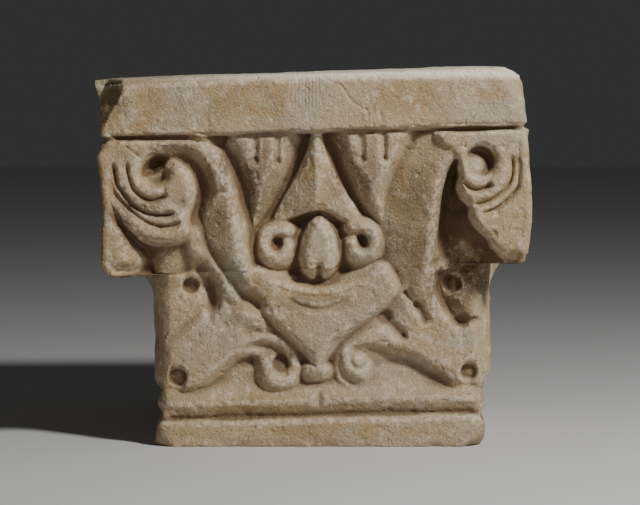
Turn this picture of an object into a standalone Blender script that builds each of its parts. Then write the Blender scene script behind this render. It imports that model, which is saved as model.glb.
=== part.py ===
"""A carved stone column capital, in metres, standing on its underside with the front toward -Y.

The stone is one block: a plain slab on top, volutes that overhang at the four corners, and a lower
block with bevelled leaves. Each face is carved back from its own plane, as a mason works, and the
four faces meet along the worn corners.
"""
import bpy
import numpy as np

# Overall sizes, in metres. The carving's midline is x = 0.
HEIGHT = 0.2852         # at the middle; the top leans up to the right
SLAB_WIDTH = 0.319
BODY_WIDTH = 0.252      # the lower block
SLAB_BOTTOM = 0.2399    # height of the groove under the slab, at the middle
VOLUTE_BOTTOM = 0.1370  # height of the overhanging volutes' underside, at the middle
LEAN = 0.033            # rise of the upper part per metre to the right
EDGE_WEAR = 0.004       # radius worn on the four upright corners
BREAK_DEPTH = 0.026     # how far the broken upper left corner of the slab is set back
BREAK_SLOPE = 1.7       # steepness of the break behind the slab's front
BREAK_REACH = 0.020     # how far its lower top runs out over the slab
BREAK_DROP = 0.004      # how much lower the broken corner is than the top beside it
BREAK_SQUEEZE = 0.12    # what stays of the depth of the side's points that the break pushes back
WEB = 0.005             # stone left between the hollows of two faces beside a corner
CORNER_BLEND = 0.010    # the carving dies away this near a corner

# Everything below is drawn in millimetres on a face of this size, then fitted to the stone.
DRAWN_SLAB = 319
DRAWN_WIDTH = 252
DRAWN_HEIGHT = 236
DRAWN_DEPTH = 33.5
VOLUTE_FOOT = 122       # the volutes' undersides lie outside this
UNDERSIDE_RISE = 11     # height of the bevel along them
UNDERSIDE_SLOPE = 0.9
SLAB_GROOVE_DEPTH = 7
SLAB_GROOVE_HALF = 1.2  # half its width
TOP_WEAR = 5            # how far the top arris is worn back
TOP_WORN = 6.5          # and how far down from the top

# Grid of one face: columns between the corners keep their places, the rest follow the corner.
FIXED_HALF_WIDTH = 0.100
OUTER_SPAN = 0.060      # usual width of the part of a face outside them
FRONT_STEP = 0.0016
PLAIN_STEP = 0.0030
ROW_STEP = 0.0016
EDGE_GAP = 0.0003       # from the volutes' underside to the row above it and the row below it
GROOVE_ZONE = 0.0056    # rows are twice as close this far to either side of the slab's groove

# The finished mesh.
FRONT_FACETS = 4800
PLAIN_FACETS = 4900
FRONT_ZONE = 0.110      # the front's carving lies further forward than this
BED_TOLERANCE = 0.0004

SLAB_HALF = SLAB_WIDTH / 2
OVERHANG = (SLAB_WIDTH - BODY_WIDTH) / 2
FIT = np.array([BODY_WIDTH / DRAWN_WIDTH, SLAB_BOTTOM / DRAWN_HEIGHT, OVERHANG / DRAWN_DEPTH])
SLAB_FIT = SLAB_WIDTH / DRAWN_SLAB
BELL_FOOT = 60          # above this height the ground of the carving leans forward

# How far the worn corners stand from the midline, from the bed up: (height, left, right). The second
# list begins where the volutes overhang.
CORNERS_BELOW = [
    (0, 118, 118), (4, 120, 124), (9, 121, 126), (17, 121, 128), (25, 119, 125), (40, 119, 126),
    (55, 120, 128), (80, 120, 128), (110, 121, 128), (132, 122, 128),
]
CORNERS_ABOVE = [
    (134, 152, 154), (136, 158, 157), (143, 162, 159), (165, 162, 161), (182, 161, 161), (208, 163, 159),
    (225, 165, 158), (232, 161, 157), (236, 158, 155), (240, 162, 157), (258, 162, 153), (268, 161, 150),
    (274, 159, 145), (278, 158, 138), (281, 157, 130),
]


# The broken corner's edge on the slab's front, from the bottom up: (height, across).
BREAK_EDGE = [(234, -164), (244, -157), (252, -154), (258, -149), (268, -145), (280, -141)]


def ease(share):
    share = np.clip(share, 0, 1)
    return share * share * (3 - 2 * share)


def swell(share):
    """A quarter round: 0 at an edge, 1 where the surface has come level."""
    return np.sqrt(1 - (1 - np.clip(share, 0, 1)) ** 2)


def bevel(share):
    """A straight slope with its upper edge eased: 0 at an edge, 1 where the surface has come level."""
    share = np.clip(share, 0, 1)
    return share + 0.3 * share * (1 - share)


def blend_max(a, b, blunt):
    """The higher of two surfaces, with the inner corner between them eased."""
    share = np.clip(0.5 + (a - b) / (2 * blunt), 0, 1)
    return b + (a - b) * share + blunt * share * (1 - share)


def smooth_line(points, closed=False, spans=5):
    """A smooth line through drawn points (x, z, depth); the depth may be left out."""
    p = np.array([(*point, 0)[:3] for point in points], float)
    if closed:
        p = np.vstack([p[-1], p, p[0], p[1]])
    else:
        p = np.vstack([2 * p[0] - p[1], p, 2 * p[-1] - p[-2]])
    t = np.linspace(0, 1, spans, endpoint=False)[:, None]
    runs = []
    for a, b, c, d in zip(p, p[1:], p[2:], p[3:]):
        bend = (2 * a - 5 * b + 4 * c - d) * t + (3 * b - a - 3 * c + d) * t * t
        runs.append(b + 0.5 * t * (c - a + bend))
    return np.vstack(runs + [p[-2:-1]])


def nearest(line, x, z):
    """Distance to a line, side of it (+1 on its left), its depth there and the share along it."""
    away = np.full(x.shape, np.inf)
    side = np.ones(x.shape)
    depth = np.zeros(x.shape)
    along = np.zeros(x.shape)
    lengths = np.hypot(*np.diff(line[:, :2], axis=0).T)
    run = 0
    for start, end, length in zip(line, line[1:], lengths):
        if length == 0:
            continue
        dx, dz = (end[:2] - start[:2]) / length
        off_x, off_z = x - start[0], z - start[1]
        t = np.clip(off_x * dx + off_z * dz, 0, length)
        distance = np.hypot(off_x - t * dx, off_z - t * dz)
        closer = distance < away
        away = np.where(closer, distance, away)
        side = np.where(closer, np.where(dx * off_z >= dz * off_x, 1, -1), side)
        depth = np.where(closer, start[2] + (end[2] - start[2]) * t / length, depth)
        along = np.where(closer, (run + t) / lengths.sum(), along)
        run += length
    return away, side, depth, along


def inset(line, x, z):
    """Distance inside a closed line, negative outside it."""
    inside = np.zeros(x.shape, bool)
    for (x0, z0, _), (x1, z1, _) in zip(line, line[1:]):
        if z0 != z1:
            inside ^= ((z0 > z) != (z1 > z)) & (x < x0 + (z - z0) * (x1 - x0) / (z1 - z0))
    away = nearest(line, x, z)[0]
    return np.where(inside, away, -away)


class Face:
    """One face of the stone. h is how far each point stands out of the slab's plane.

    Depths are given behind the slab's plane. Each tool works only on the part of the face around its
    line, and takes lengths in drawn millimetres.
    """

    def __init__(self, x, z):
        self.x = x
        self.z = z
        rise = np.clip((z - BELL_FOOT) / (DRAWN_HEIGHT - BELL_FOOT), 0, 1) ** 1.2
        self.skin = 27 - 22 * rise
        self.h = -(43 - 16 * rise)

    def around(self, line, reach):
        low = line[:, :2].min(axis=0) - reach
        high = line[:, :2].max(axis=0) + reach
        return (self.x > low[0]) & (self.x < high[0]) & (self.z > low[1]) & (self.z < high[1])

    def pad(self, outline, depth, fall=2.0, edge=2.0, roll=3.5, blunt=0.5, rim=swell):
        """A raised field whose rim is rolled or bevelled. Outside its outline it falls steeply away."""
        line = smooth_line(outline, closed=True)
        near = self.around(line, 20)
        s = inset(line, self.x[near], self.z[near])
        top = -np.broadcast_to(depth, self.x.shape)[near] - edge * (1 - rim(s / roll))
        self.h[near] = blend_max(self.h[near], top + fall * np.minimum(s, 0), blunt)

    def ridge(self, points, left, right, crest=2.0, blunt=0.5, where=True):
        """A raised line. left and right are the slopes of its two flanks."""
        line = smooth_line(points)
        near = self.around(line, 30) & where
        away, side, depth, _ = nearest(line, self.x[near], self.z[near])
        top = -depth - np.where(side > 0, left, right) * (np.hypot(away, crest) - crest)
        self.h[near] = blend_max(self.h[near], top, blunt)

    def valley(self, points, left, right, floor=1.0, reach=12.0):
        """A sunk line with two sloping flanks that reach only so far."""
        line = smooth_line(points)
        near = self.around(line, reach + 3)
        away, side, depth, _ = nearest(line, self.x[near], self.z[near])
        slope = np.where(side > 0, left, right)
        low = slope * (np.hypot(away, floor) - floor) - depth + 4 * np.maximum(0, away - reach)
        self.h[near] = -blend_max(-self.h[near], -low, 0.5)

    def groove(self, points, depth, width, fade=(0.12, 0.12), lean=0.0):
        """A V cut below whatever surface is there, running out at both ends."""
        line = smooth_line(points)
        near = self.around(line, 2 * width)
        away, side, _, along = nearest(line, self.x[near], self.z[near])
        reach = width * (1 + lean * side)
        ends = ease(along / max(fade[0], 0.001)) * ease((1 - along) / max(fade[1], 0.001))
        self.h[near] -= depth * np.clip(1 - away / reach, 0, 1) * ends

    def drill(self, point, radius, depth, wall=1.5):
        """A round hole below whatever surface is there."""
        away = np.hypot(self.x - point[0], self.z - point[1])
        self.h -= depth * ease((radius - away) / wall + 0.5)

    def sink(self, outline, rim, depth, roll):
        """A hollow: rim deep at its outline, and depth deeper inside."""
        s = inset(smooth_line(outline, closed=True), self.x, self.z)
        self.h = np.where(s > 0, np.minimum(self.h, -(rim + depth * swell(s / roll))), self.h)


# The middle of a face: the spear, the bowl under it with a bud, and the cup.
SPEAR = [
    (0, 239), (4, 225), (10, 211.5), (17, 198), (25, 185), (34, 171), (25, 170), (13.5, 175.5), (1, 180),
    (-11, 178), (-22, 173), (-34.5, 167), (-35, 170), (-27, 184), (-19.5, 196.5), (-13, 208), (-6, 223),
]
SPEAR_RIB = [(167, 13), (182, 11), (215, 7.5), (238, 5.5)]   # height, depth of its sharp middle rib
SPEAR_FOOT_RIGHT = [(1.5, 235, 8), (10.5, 215, 13), (19, 200, 17), (27, 187, 20), (37, 171, 23)]
SPEAR_FOOT_LEFT = [
    (-1.5, 235, 8), (-7.5, 219, 12), (-13.5, 206, 16), (-21, 194, 19), (-28.5, 183, 21),
    (-37.5, 169, 23),
]
BOWL = [
    (-37, 169), (-20, 175), (0, 178.5), (17, 175.5), (34, 170), (47, 160), (50, 146), (44.5, 134),
    (25, 124), (1, 120), (-20.5, 124), (-37, 131), (-44, 144), (-44, 157),
]
BUD = [
    (1.5, 176), (9, 169), (14, 157), (16, 144), (12, 134), (5.5, 128), (1.5, 137), (-3, 128), (-10, 134),
    (-13, 144), (-11, 157), (-6, 169),
]
BUD_SPLIT = [(1.5, 181.5), (1, 169)]
CURL_LEFT = [
    (-23, 151.5, 19), (-25.5, 145, 17.5), (-31, 142.5, 17), (-37.5, 145.5, 17), (-40, 153, 17),
    (-37.5, 160.5, 18), (-31, 164, 19), (-23, 163.5, 19),
]
CURL_RIGHT = [
    (27, 154, 19), (29, 147, 17.5), (34.5, 145, 17), (41, 148, 17), (43.5, 155, 17), (41, 163, 18),
    (34.5, 166.5, 19), (27, 166, 19),
]
CUP = [
    (-61, 136), (-41.5, 134), (-20.5, 124), (1, 120), (23.5, 124.5), (46, 136), (56.5, 131), (61.5, 119),
    (51.5, 106.5), (34, 94), (17.5, 82), (6, 69), (1, 59), (-6, 71), (-20.5, 84), (-35.5, 98),
    (-49.5, 112), (-58.5, 124),
]
CUP_RIMS = [
    [(-46, 133), (-22.5, 127), (1, 124.5), (24, 127), (47.5, 133)],
    [(-35.5, 124.5), (-17.5, 117), (1, 115), (19, 117), (37, 124.5)],
    [(-25, 115.5), (-12, 108), (1, 105), (13.5, 108), (26.5, 115.5)],
]
KNOB = [(-4.5, 57.5, 28), (3.5, 57.5, 28)]


def carve_middle(face, plain):
    s = inset(smooth_line(SPEAR, closed=True), face.x, face.z)
    rib_depth = np.interp(face.z, *zip(*SPEAR_RIB))
    spear = -rib_depth - 0.42 * np.abs(face.x) + 3 * np.minimum(s, 0)
    face.h = np.where(s > -4, blend_max(face.h, spear, 0.3), face.h)
    face.valley(SPEAR_FOOT_RIGHT, 1.1, 2.5)
    face.valley(SPEAR_FOOT_LEFT, 2.5, 1.1)
    face.h = np.where(s > 0, np.maximum(face.h, spear), face.h)

    face.sink(BOWL, 17.5, 9, 8)
    face.pad(BUD, 14.5, 2.5, 8.5, 9, 0.4)
    face.groove(BUD_SPLIT, 3, 3, (0.2, 0.5))
    for curl, eye in ((CURL_LEFT, (-31, 153)), (CURL_RIGHT, (34.5, 155))):
        face.ridge(curl, 1.6, 1.6)
        face.drill(eye, 5, 4)

    drop = np.clip((135 - face.z) / 75, 0, 1) ** 0.8
    cup = 24.5 if plain else 17.5
    face.pad(CUP, cup + 9 * drop + 0.03 * np.abs(face.x), 1.3, 4, 7)
    if not plain:
        for rim in CUP_RIMS:
            face.groove(rim, 2, 3.2, (0.15, 0.15), -0.5)
    face.ridge(KNOB, 1.7, 1.7, 3)


# The left half, which the plain faces repeat on both sides.
SIDE_LEAF_LEFT = [
    (-79, 235), (-90, 262), (-45, 268), (8, 264), (-2, 237), (-9, 223), (-16, 208), (-23, 193),
    (-32, 179), (-40, 166), (-47, 149), (-52.5, 148), (-55.5, 166.5), (-59, 181.5), (-64, 196.5),
    (-71, 214), (-77, 224),
]
NOTCHES_LEFT = [[(-46, 241), (-46.5, 216)], [(-29, 241), (-30, 215)]]
STEM_LEFT = [
    (-148, 227, 1), (-118, 228.5, 1), (-99, 228, 1.5), (-88, 226, 2), (-80, 219, 2.5), (-74, 207, 3.5),
    (-70, 196, 5), (-66.5, 181.5, 7), (-63, 166.5, 9), (-60, 151.5, 12), (-57, 139, 15),
    (-51, 127, 20), (-45, 116, 26), (-40, 106, 32),
]
CANAL_LEFT = [
    (-88, 200, 17), (-88, 186, 19), (-89, 172, 21), (-86, 155, 23), (-76, 139, 27), (-61, 121.5, 33),
]
VOLUTE_LEFT = [
    (-174, 231), (-155, 232), (-132, 232), (-126, 222), (-117, 218), (-112, 216), (-103, 214),
    (-96, 208), (-91.5, 200), (-90.5, 191), (-93, 182), (-97, 176), (-96.5, 166), (-103, 157.5),
    (-116, 155.5), (-128, 157), (-138, 162.5), (-146, 169), (-154, 178), (-163, 187), (-174, 193),
]
VOLUTE_FOOT_LEFT = [
    (-124, 209, 10), (-114, 217, 10.5), (-104, 217, 12), (-95, 212, 14), (-89.5, 203, 16),
    (-87.5, 192.5, 18), (-89, 183, 19), (-91.5, 174, 20), (-90.5, 164, 21), (-87, 153.5, 22),
    (-82, 144, 25), (-75, 133.5, 28), (-68, 124, 31), (-60, 114, 33), (-50, 105, 35),
]
LOBE_LEFT = [
    (-174, 189), (-160.5, 183), (-152, 173), (-145, 160), (-139.5, 146), (-140.5, 137), (-147, 132),
    (-157.5, 128), (-175.5, 126),
]
NECK_LEFT = [(-112, 153, 13), (-115.5, 138, 21), (-120.5, 121.5, 31)]
RINGS_LEFT = [
    ([(-142.5, 217), (-142, 207), (-139.5, 198.5), (-135.5, 192.5), (-129, 188), (-121.5, 187),
      (-111, 192)], 4.6, 4),
    ([(-153, 217), (-152, 207), (-150, 198.5), (-144.5, 190.5), (-138, 183), (-129, 177.5), (-121.5, 176),
      (-112, 176), (-104, 180)], 5, 4.2),
    ([(-157, 204), (-152, 192), (-142, 181), (-133, 174), (-121.5, 168.5), (-110, 168), (-100, 172)],
     4.2, 3.8),
    ([(-160.5, 193), (-153, 179), (-144, 167), (-134, 158)], 3.4, 3.8),
]
LOW_LEAF_LEFT = [
    (-97, 165), (-94, 158), (-91, 151), (-86, 142.5), (-80, 133), (-72.5, 124.5), (-65.5, 116),
    (-60, 109.5), (-54, 107), (-48, 103.5), (-44, 97), (-42, 91.5), (-31, 90), (-23.5, 86),
    (-17.5, 79.5), (-13, 71), (-11, 61.5), (-12, 52), (-16, 44), (-22, 40.5), (-30.5, 39), (-39.5, 41),
    (-45, 46.5), (-47, 56), (-48.5, 67), (-58.5, 64.5), (-65.5, 59), (-73.5, 52), (-84.5, 44),
    (-93.5, 40), (-101, 39), (-107, 42), (-115.5, 44), (-134.5, 41), (-134, 121.5), (-124, 134),
    (-114, 139), (-103, 137), (-97, 139), (-96, 148), (-99, 158),
]
LINK_LEFT = [
    (-97, 162, 8), (-93, 153, 12), (-87, 142.5, 16.5), (-80, 133.5, 20), (-73, 124.5, 23.5),
    (-65.5, 115.5, 27), (-60, 108, 30),
]
KNUCKLE_LEFT = [(-56, 102, 27.5), (-48, 98, 27.5)]
SCOOP_LEFT = [(-88.5, 132, 32), (-84.5, 126, 36), (-81, 118, 38.5), (-80, 108, 38.5), (-82, 98, 34)]
LEAF_LINES_LEFT = [
    ([(-86, 109), (-93, 98), (-103, 89), (-114, 79), (-120, 72)], 3.6, 5, (0.1, 0.3)),
    ([(-57, 82), (-50, 86), (-43, 90)], 2.5, 5, (0.3, 0.1)),
]
CURL_SCOOP_LEFT = [(-60, 70, 31.5), (-50, 75, 36), (-38, 75, 38.5), (-29, 70, 40), (-25, 62, 41)]


def carve_left(face, plain):
    face.pad(SIDE_LEAF_LEFT, face.skin, 1.2, 18, 19, rim=bevel)
    if not plain:
        for notch in NOTCHES_LEFT:
            face.groove(notch, 3.5, 3.4, (0, 0.12))
            face.drill(notch[-1], 2.4, 3.5)
    face.ridge(CANAL_LEFT, 0.3, 0.35, 4, 1, face.x < -40)
    face.ridge(STEM_LEFT, 1.8, 0.42, 4, 0.8)


def carve_left_corner(face, plain):
    face.pad(VOLUTE_LEFT, -1.5, 3.5)
    face.pad(LOBE_LEFT, -1, 1.6, 6, 9)
    if not plain:
        face.ridge(NECK_LEFT, 0.6, 0.5, 4, 0.8, (face.x < -90) & (face.z > 118))
    for ring in RINGS_LEFT:
        face.groove(*ring)
    face.valley(VOLUTE_FOOT_LEFT, 1.0, 4, 1.5)
    face.drill((-121, 208), 10.5, 12, 9)

    lift = 6 if plain else 17
    face.pad(LOW_LEAF_LEFT, 30.5 - lift * ease((face.z - 112) / 60), 1.3, 9, 9, rim=bevel)
    face.ridge(LINK_LEFT, 1.2, 1.5, 4)
    face.ridge(KNUCKLE_LEFT, 0.7, 0.5, 4)
    face.valley(SCOOP_LEFT, 1.2, 1.1, 2, 9)
    for line in LEAF_LINES_LEFT:
        face.groove(*line)
    face.drill((-96, 122), 6.4, 8, 2)
    face.drill((-106.5, 52.5), 6.8, 8, 2)
    face.valley(CURL_SCOOP_LEFT, 1.2, 0.8, 1.5, 9)
    face.drill((-28, 62), 6.4, 6, 2)


# The right half of the front, cut more broadly than the left.
SIDE_LEAF_RIGHT = [
    (3, 237), (-6, 264), (45, 268), (96, 262), (86, 238), (80, 226), (73, 214), (66, 200), (60, 187),
    (57, 174), (55.5, 155), (51, 148), (46, 159), (37, 174), (26, 189), (16, 206), (8, 223),
]
NOTCHES_RIGHT = [[(33, 241), (34, 217)], [(50, 241), (51, 217.5)]]
STEM_RIGHT = [
    (152, 229, 1), (115, 230, 1), (104, 227, 1.5), (97, 216, 2.5), (92, 203, 4), (89, 189, 6),
    (87, 174, 8.5), (85.5, 159, 11), (84, 144, 14.5), (81, 129, 19), (77, 118, 23),
]
STEM_FOOT_RIGHT = [
    (66, 232, 8), (61.5, 218, 11), (57.5, 204, 15), (54.5, 189, 19), (52.5, 174, 22), (51.5, 159, 24.5),
    (53, 144, 27),
]
VOLUTE_RIGHT = [
    (92, 238), (130, 238), (171, 238), (171, 139), (148.5, 141), (137, 145.5), (131, 152), (127.5, 158),
    (120, 165), (115, 174), (114, 182), (109, 187.5), (105, 195), (105, 204), (104.5, 213.5),
    (105, 220.5), (100, 225), (93, 230),
]
HOLLOW_RIGHT = [
    (105, 217), (106, 206), (105, 196), (109, 187.5), (114, 182), (115, 174), (120, 165), (127.5, 158),
    (131, 152), (136.5, 146), (137.5, 136), (87, 135), (88, 148), (90, 166.5), (92.5, 183), (95.5, 196),
    (100, 208.5),
]
RINGS_RIGHT = [
    ([(109, 202), (113, 197.5), (117.5, 195.3), (121.5, 195), (127, 196.5), (132, 200.5)], 4.5, 3.5),
    ([(114.5, 182.5), (122, 184.5), (130, 187), (137, 191.5), (143, 197.5), (146.5, 206), (146, 222)],
     4.5, 4.4),
    ([(120, 177), (128, 178.5), (134, 181), (141, 186), (146, 191), (151.5, 199), (153, 212), (152, 224)],
     4.5, 4),
]
EYE_RIGHT = [
    (104, 212), (108, 203), (118, 198.5), (128, 203), (133, 213), (128, 224), (118, 227), (108, 222),
]
EYE_BALL_RIGHT = [(114.5, 209, 2), (115.5, 210, 2)]
LOW_LEAF_RIGHT = [
    (61.5, 119), (70, 118), (78, 122), (85, 134), (90, 139), (97, 136), (137.5, 134), (139, 41),
    (124, 43), (114.5, 46), (107, 43.5), (100.5, 43.5), (92, 47), (81.5, 55.5), (70, 61), (59.5, 66),
    (46.5, 70), (37, 72), (42, 65), (42.5, 56), (39.5, 47), (32.5, 42), (25, 42), (18, 46), (13.5, 52.5),
    (11.5, 61.5), (12, 71), (17.5, 79.5), (26.5, 87), (37, 94), (48.5, 100), (54, 110),
]
LEAF_LINES_RIGHT = [
    ([(49.5, 101), (54.5, 94), (61, 88), (67.5, 82.5)], 5.5, 7, (0, 0.1)),
    ([(66, 118), (73, 110), (79, 102), (83, 92)], 5.5, 5.5, (0, 0.1), 0.3),
    ([(93, 136), (93, 122), (96, 111), (101.5, 102), (108, 94), (114, 89)], 9, 8.5, (0.1, 0.15), 0.3),
    ([(109, 90), (117, 95), (128, 97)], 3, 3.5, (0.2, 0)),
]
GAP_RIGHT = [(58, 110, 31), (40, 94, 32), (22, 78, 34)]     # where the leaf meets the cup
LEAF_FOOT_RIGHT = [
    (30, 73, 36), (46.5, 70, 39), (61, 66, 40), (74, 59.5, 41), (86, 51.5, 41), (97, 44.5, 40),
]
CURL_SCOOP_RIGHT = [(18, 75, 34), (15.5, 64, 36.5), (20, 52, 38), (30, 47, 38), (38, 50, 36)]
CURL_EYE_RIGHT = [(30.5, 66, 31.5), (31, 64.5, 31.5)]


def carve_right(face):
    face.pad(SIDE_LEAF_RIGHT, face.skin, 1.2, 18, 19, rim=bevel)
    for notch in NOTCHES_RIGHT:
        face.groove(notch, 3.5, 3.4, (0, 0.12))
        face.drill(notch[-1], 2.4, 3.5)
    face.ridge(STEM_RIGHT, 1.2, 0.45, 5, 0.8)
    face.valley(STEM_FOOT_RIGHT, 1.3, 2.5, 1.5, 9)


def carve_right_corner(face):
    face.pad(VOLUTE_RIGHT, -1, 3.5)
    face.sink(HOLLOW_RIGHT, 15, 16 + 7 * ease((face.z - 137) / 30), 13)
    for ring in RINGS_RIGHT:
        face.groove(*ring)
    face.drill((123, 216), 10.5, 14, 6)
    in_eye = inset(smooth_line(EYE_RIGHT, closed=True), face.x, face.z) > 0
    face.ridge(EYE_BALL_RIGHT, 1.2, 1.2, 8, where=in_eye)

    face.pad(LOW_LEAF_RIGHT, 30.5 + 2 * ease((face.z - 118) / 16), 1.3, 9, 9, rim=bevel)
    face.ridge(GAP_RIGHT, 0.3, 0.3, 3)
    for line in LEAF_LINES_RIGHT:
        face.groove(*line)
    face.drill((67, 83), 2.4, 2.5)
    face.drill((103, 123), 6.4, 7, 2)
    face.drill((116, 57), 6.8, 8, 2)
    face.valley(LEAF_FOOT_RIGHT, 1.05, 1.0, 1.5)
    face.valley(CURL_SCOOP_RIGHT, 1.2, 0.9, 1.5, 9)
    face.drill((31, 64.5), 6.8, 5, 2)
    face.ridge(CURL_EYE_RIGHT, 1.2, 1.2, 3)


# Under the leaves each half has a panel, and the plain collar runs below both.
COLLAR_TOP = [(-127, 18.5), (-20.5, 21), (1, 22), (21.5, 22.5), (124, 24.5)]
PANEL_GAP = [(1.5, 44), (1, 34), (1.5, 22)]
SLAB_LINE = [(-174, 232.5), (-88, 233.5), (2, 236.5), (92, 239), (171, 241)]


def height_above(points, x, z):
    line = smooth_line(points)
    return z - np.interp(x, line[:, 0], line[:, 1])


def carve_panels(face):
    """The panels under the leaves, which turn back to the collar, and the collar itself."""
    up = height_above(COLLAR_TOP, face.x, face.z)
    gap, side, _, _ = nearest(smooth_line(PANEL_GAP), face.x, face.z)
    depth = 32.5 + 7.5 * ease((up - 9) / 22)
    depth = np.maximum(depth, 41.5 - 0.68 * np.maximum(up, 0))
    depth = np.maximum(depth, 37.5 - np.where(side > 0, 0.7, 1.2) * gap)
    depth = depth + 0.35 * np.maximum(0, face.z - 58)
    face.h = blend_max(face.h, -depth, 0.5)
    above_collar = ease((up + 0.6) / 1.6)
    face.h = face.h * above_collar - DRAWN_DEPTH * (1 - above_collar)


def carve_underside(face):
    """The bevel along the lower edge of the overhanging volutes."""
    up = face.z - (VOLUTE_BOTTOM / FIT[1] + LEAN * face.x)
    overhang = ease((np.abs(face.x) - VOLUTE_FOOT) / 6) * (up > 0)
    face.h = face.h - UNDERSIDE_SLOPE * overhang * np.maximum(0, UNDERSIDE_RISE - up)


def carve_slab(face):
    """The plain slab, and the groove cut under it."""
    up = height_above(SLAB_LINE, face.x, face.z)
    face.h = np.where(up > 0, 0, face.h)
    down = HEIGHT / FIT[1] + LEAN * face.x - face.z
    face.h = face.h - TOP_WEAR * np.clip(1 - down / TOP_WORN, 0, 1) ** 2
    in_groove = 1 - ease(np.abs(up) / SLAB_GROOVE_HALF - 1)
    face.h = face.h - np.maximum(0, SLAB_GROOVE_DEPTH + face.h) * in_groove


def carved(x, z, plain):
    """How far the carved surface of one face stands out of the slab's plane, all in metres."""
    face = Face((-np.abs(x) if plain else x) / FIT[0], z / FIT[1])
    carve_left(face, plain)
    if not plain:
        carve_right(face)
    carve_middle(face, plain)
    carve_left_corner(face, plain)
    if not plain:
        carve_right_corner(face)
    carve_panels(face)
    carve_underside(face)
    carve_slab(face)
    return face.h * FIT[2]


def rise_with_lean(rows, x):
    """Height at x of a row named by its height at the middle."""
    return rows + LEAN * x * ease(rows / VOLUTE_BOTTOM)


def row_heights():
    """Heights of the rows of points, close together at the volutes' underside and the slab's groove."""
    below = np.arange(0, VOLUTE_BOTTOM, ROW_STEP)
    above = np.arange(VOLUTE_BOTTOM + 2 * EDGE_GAP, SLAB_BOTTOM - GROOVE_ZONE, ROW_STEP)
    groove = np.arange(SLAB_BOTTOM - GROOVE_ZONE, SLAB_BOTTOM + GROOVE_ZONE, ROW_STEP / 2)
    slab = np.arange(HEIGHT, SLAB_BOTTOM + GROOVE_ZONE, -ROW_STEP)[::-1]
    underside = [VOLUTE_BOTTOM - EDGE_GAP, VOLUTE_BOTTOM + EDGE_GAP]
    return np.concatenate([below[:-1], underside, above[1:], groove, slab])


def corner_profile(rows):
    """Left and right reach of the stone at each row."""
    heights = rows / FIT[1]
    reaches = []
    for column in (1, 2):
        low = [(corner[0], corner[column]) for corner in CORNERS_BELOW]
        high = [(corner[0], corner[column]) for corner in CORNERS_ABOVE]
        below = np.interp(heights, *zip(*low)) * FIT[0]
        above = np.interp(heights, *zip(*high)) * SLAB_FIT
        reaches.append(np.where(rows < VOLUTE_BOTTOM, below, above))
    return -reaches[0], reaches[1]


def face_grid(rows, left, right, step, plain, lean_at):
    """Along-face positions, heights above the bed and depths for every row of one face."""
    worn = EDGE_WEAR * (1 - np.sqrt(0.5))
    inner = np.arange(-FIXED_HALF_WIDTH, FIXED_HALF_WIDTH + step / 2, step)
    count = round(OUTER_SPAN / step)
    outer = np.linspace(0, 1, count + 1)[1:]
    left_part = -FIXED_HALF_WIDTH + (left[:, None] + worn + FIXED_HALF_WIDTH) * outer[::-1]
    right_part = FIXED_HALF_WIDTH + (right[:, None] - worn - FIXED_HALF_WIDTH) * outer
    x = np.hstack([left_part, np.tile(inner, (len(rows), 1)), right_part])
    row = np.tile(rows[:, None], (1, x.shape[1]))
    z = rise_with_lean(row, x if lean_at is None else lean_at[:, None])
    drawn_z = rise_with_lean(row, -np.abs(x)) if plain else z
    h = carved(x, drawn_z, plain)

    half = (right - left)[:, None] / 2
    centre = (right + left)[:, None] / 2
    edge = half - SLAB_HALF
    to_corner = half - np.abs(x - centre)
    h = np.maximum(h, np.minimum(edge, np.abs(x - centre) + WEB - SLAB_HALF))
    near_corner = ease(1 - to_corner / CORNER_BLEND)
    h = h * (1 - near_corner) + edge * near_corner
    turn = np.clip(EDGE_WEAR - to_corner, 0, EDGE_WEAR)
    h = h - (EDGE_WEAR - np.sqrt(EDGE_WEAR ** 2 - turn ** 2))
    return x, z, h


def break_corner(points):
    """Sets back the broken upper left corner of the slab's front."""
    x, y, z = np.moveaxis(points, -1, 0)
    edge = np.interp(z / FIT[1], *zip(*BREAK_EDGE)) * SLAB_FIT
    depth = np.clip(BREAK_SLOPE * (edge - x), 0, BREAK_DEPTH) * (z > SLAB_BOTTOM)
    face = depth - SLAB_HALF
    points[..., 1] = np.where((y < face) & (depth > 0), face + BREAK_SQUEEZE * (y - face), y)
    beside = np.maximum(0, y + SLAB_HALF - BREAK_DEPTH) + np.maximum(0, x - edge)
    lowest = HEIGHT + LEAN * x - BREAK_DROP * ease(1 - beside / BREAK_REACH)
    points[..., 2] = np.minimum(z, lowest)


def stone_points():
    """Rings of points around the stone, one ring for each row, from the bed up."""
    rows = row_heights()
    left, right = corner_profile(rows)
    half = (right - left) / 2
    centre = (right + left) / 2
    x, z, h = face_grid(rows, left, right, FRONT_STEP, False, None)
    front = np.dstack([x, -(SLAB_HALF + h), z])
    x, z, h = face_grid(rows, -half, half, PLAIN_STEP, True, right)
    right_side = np.dstack([centre[:, None] + SLAB_HALF + h, x, z])
    x, z, h = face_grid(rows, left, right, PLAIN_STEP, True, None)
    back = np.dstack([x, SLAB_HALF + h, z])[:, ::-1]
    x, z, h = face_grid(rows, -half, half, PLAIN_STEP, True, left)
    left_side = np.dstack([centre[:, None] - SLAB_HALF - h, x, z])[:, ::-1]
    points = np.hstack([face[:, :-1] for face in (front, right_side, back, left_side)])
    break_corner(points)
    points[-1, :, 2] = HEIGHT + LEAN * points[-1, :, 0]
    low, high = points.min(axis=(0, 1)), points.max(axis=(0, 1))
    points[..., :2] -= (low[:2] + high[:2]) / 2
    return points


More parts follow.
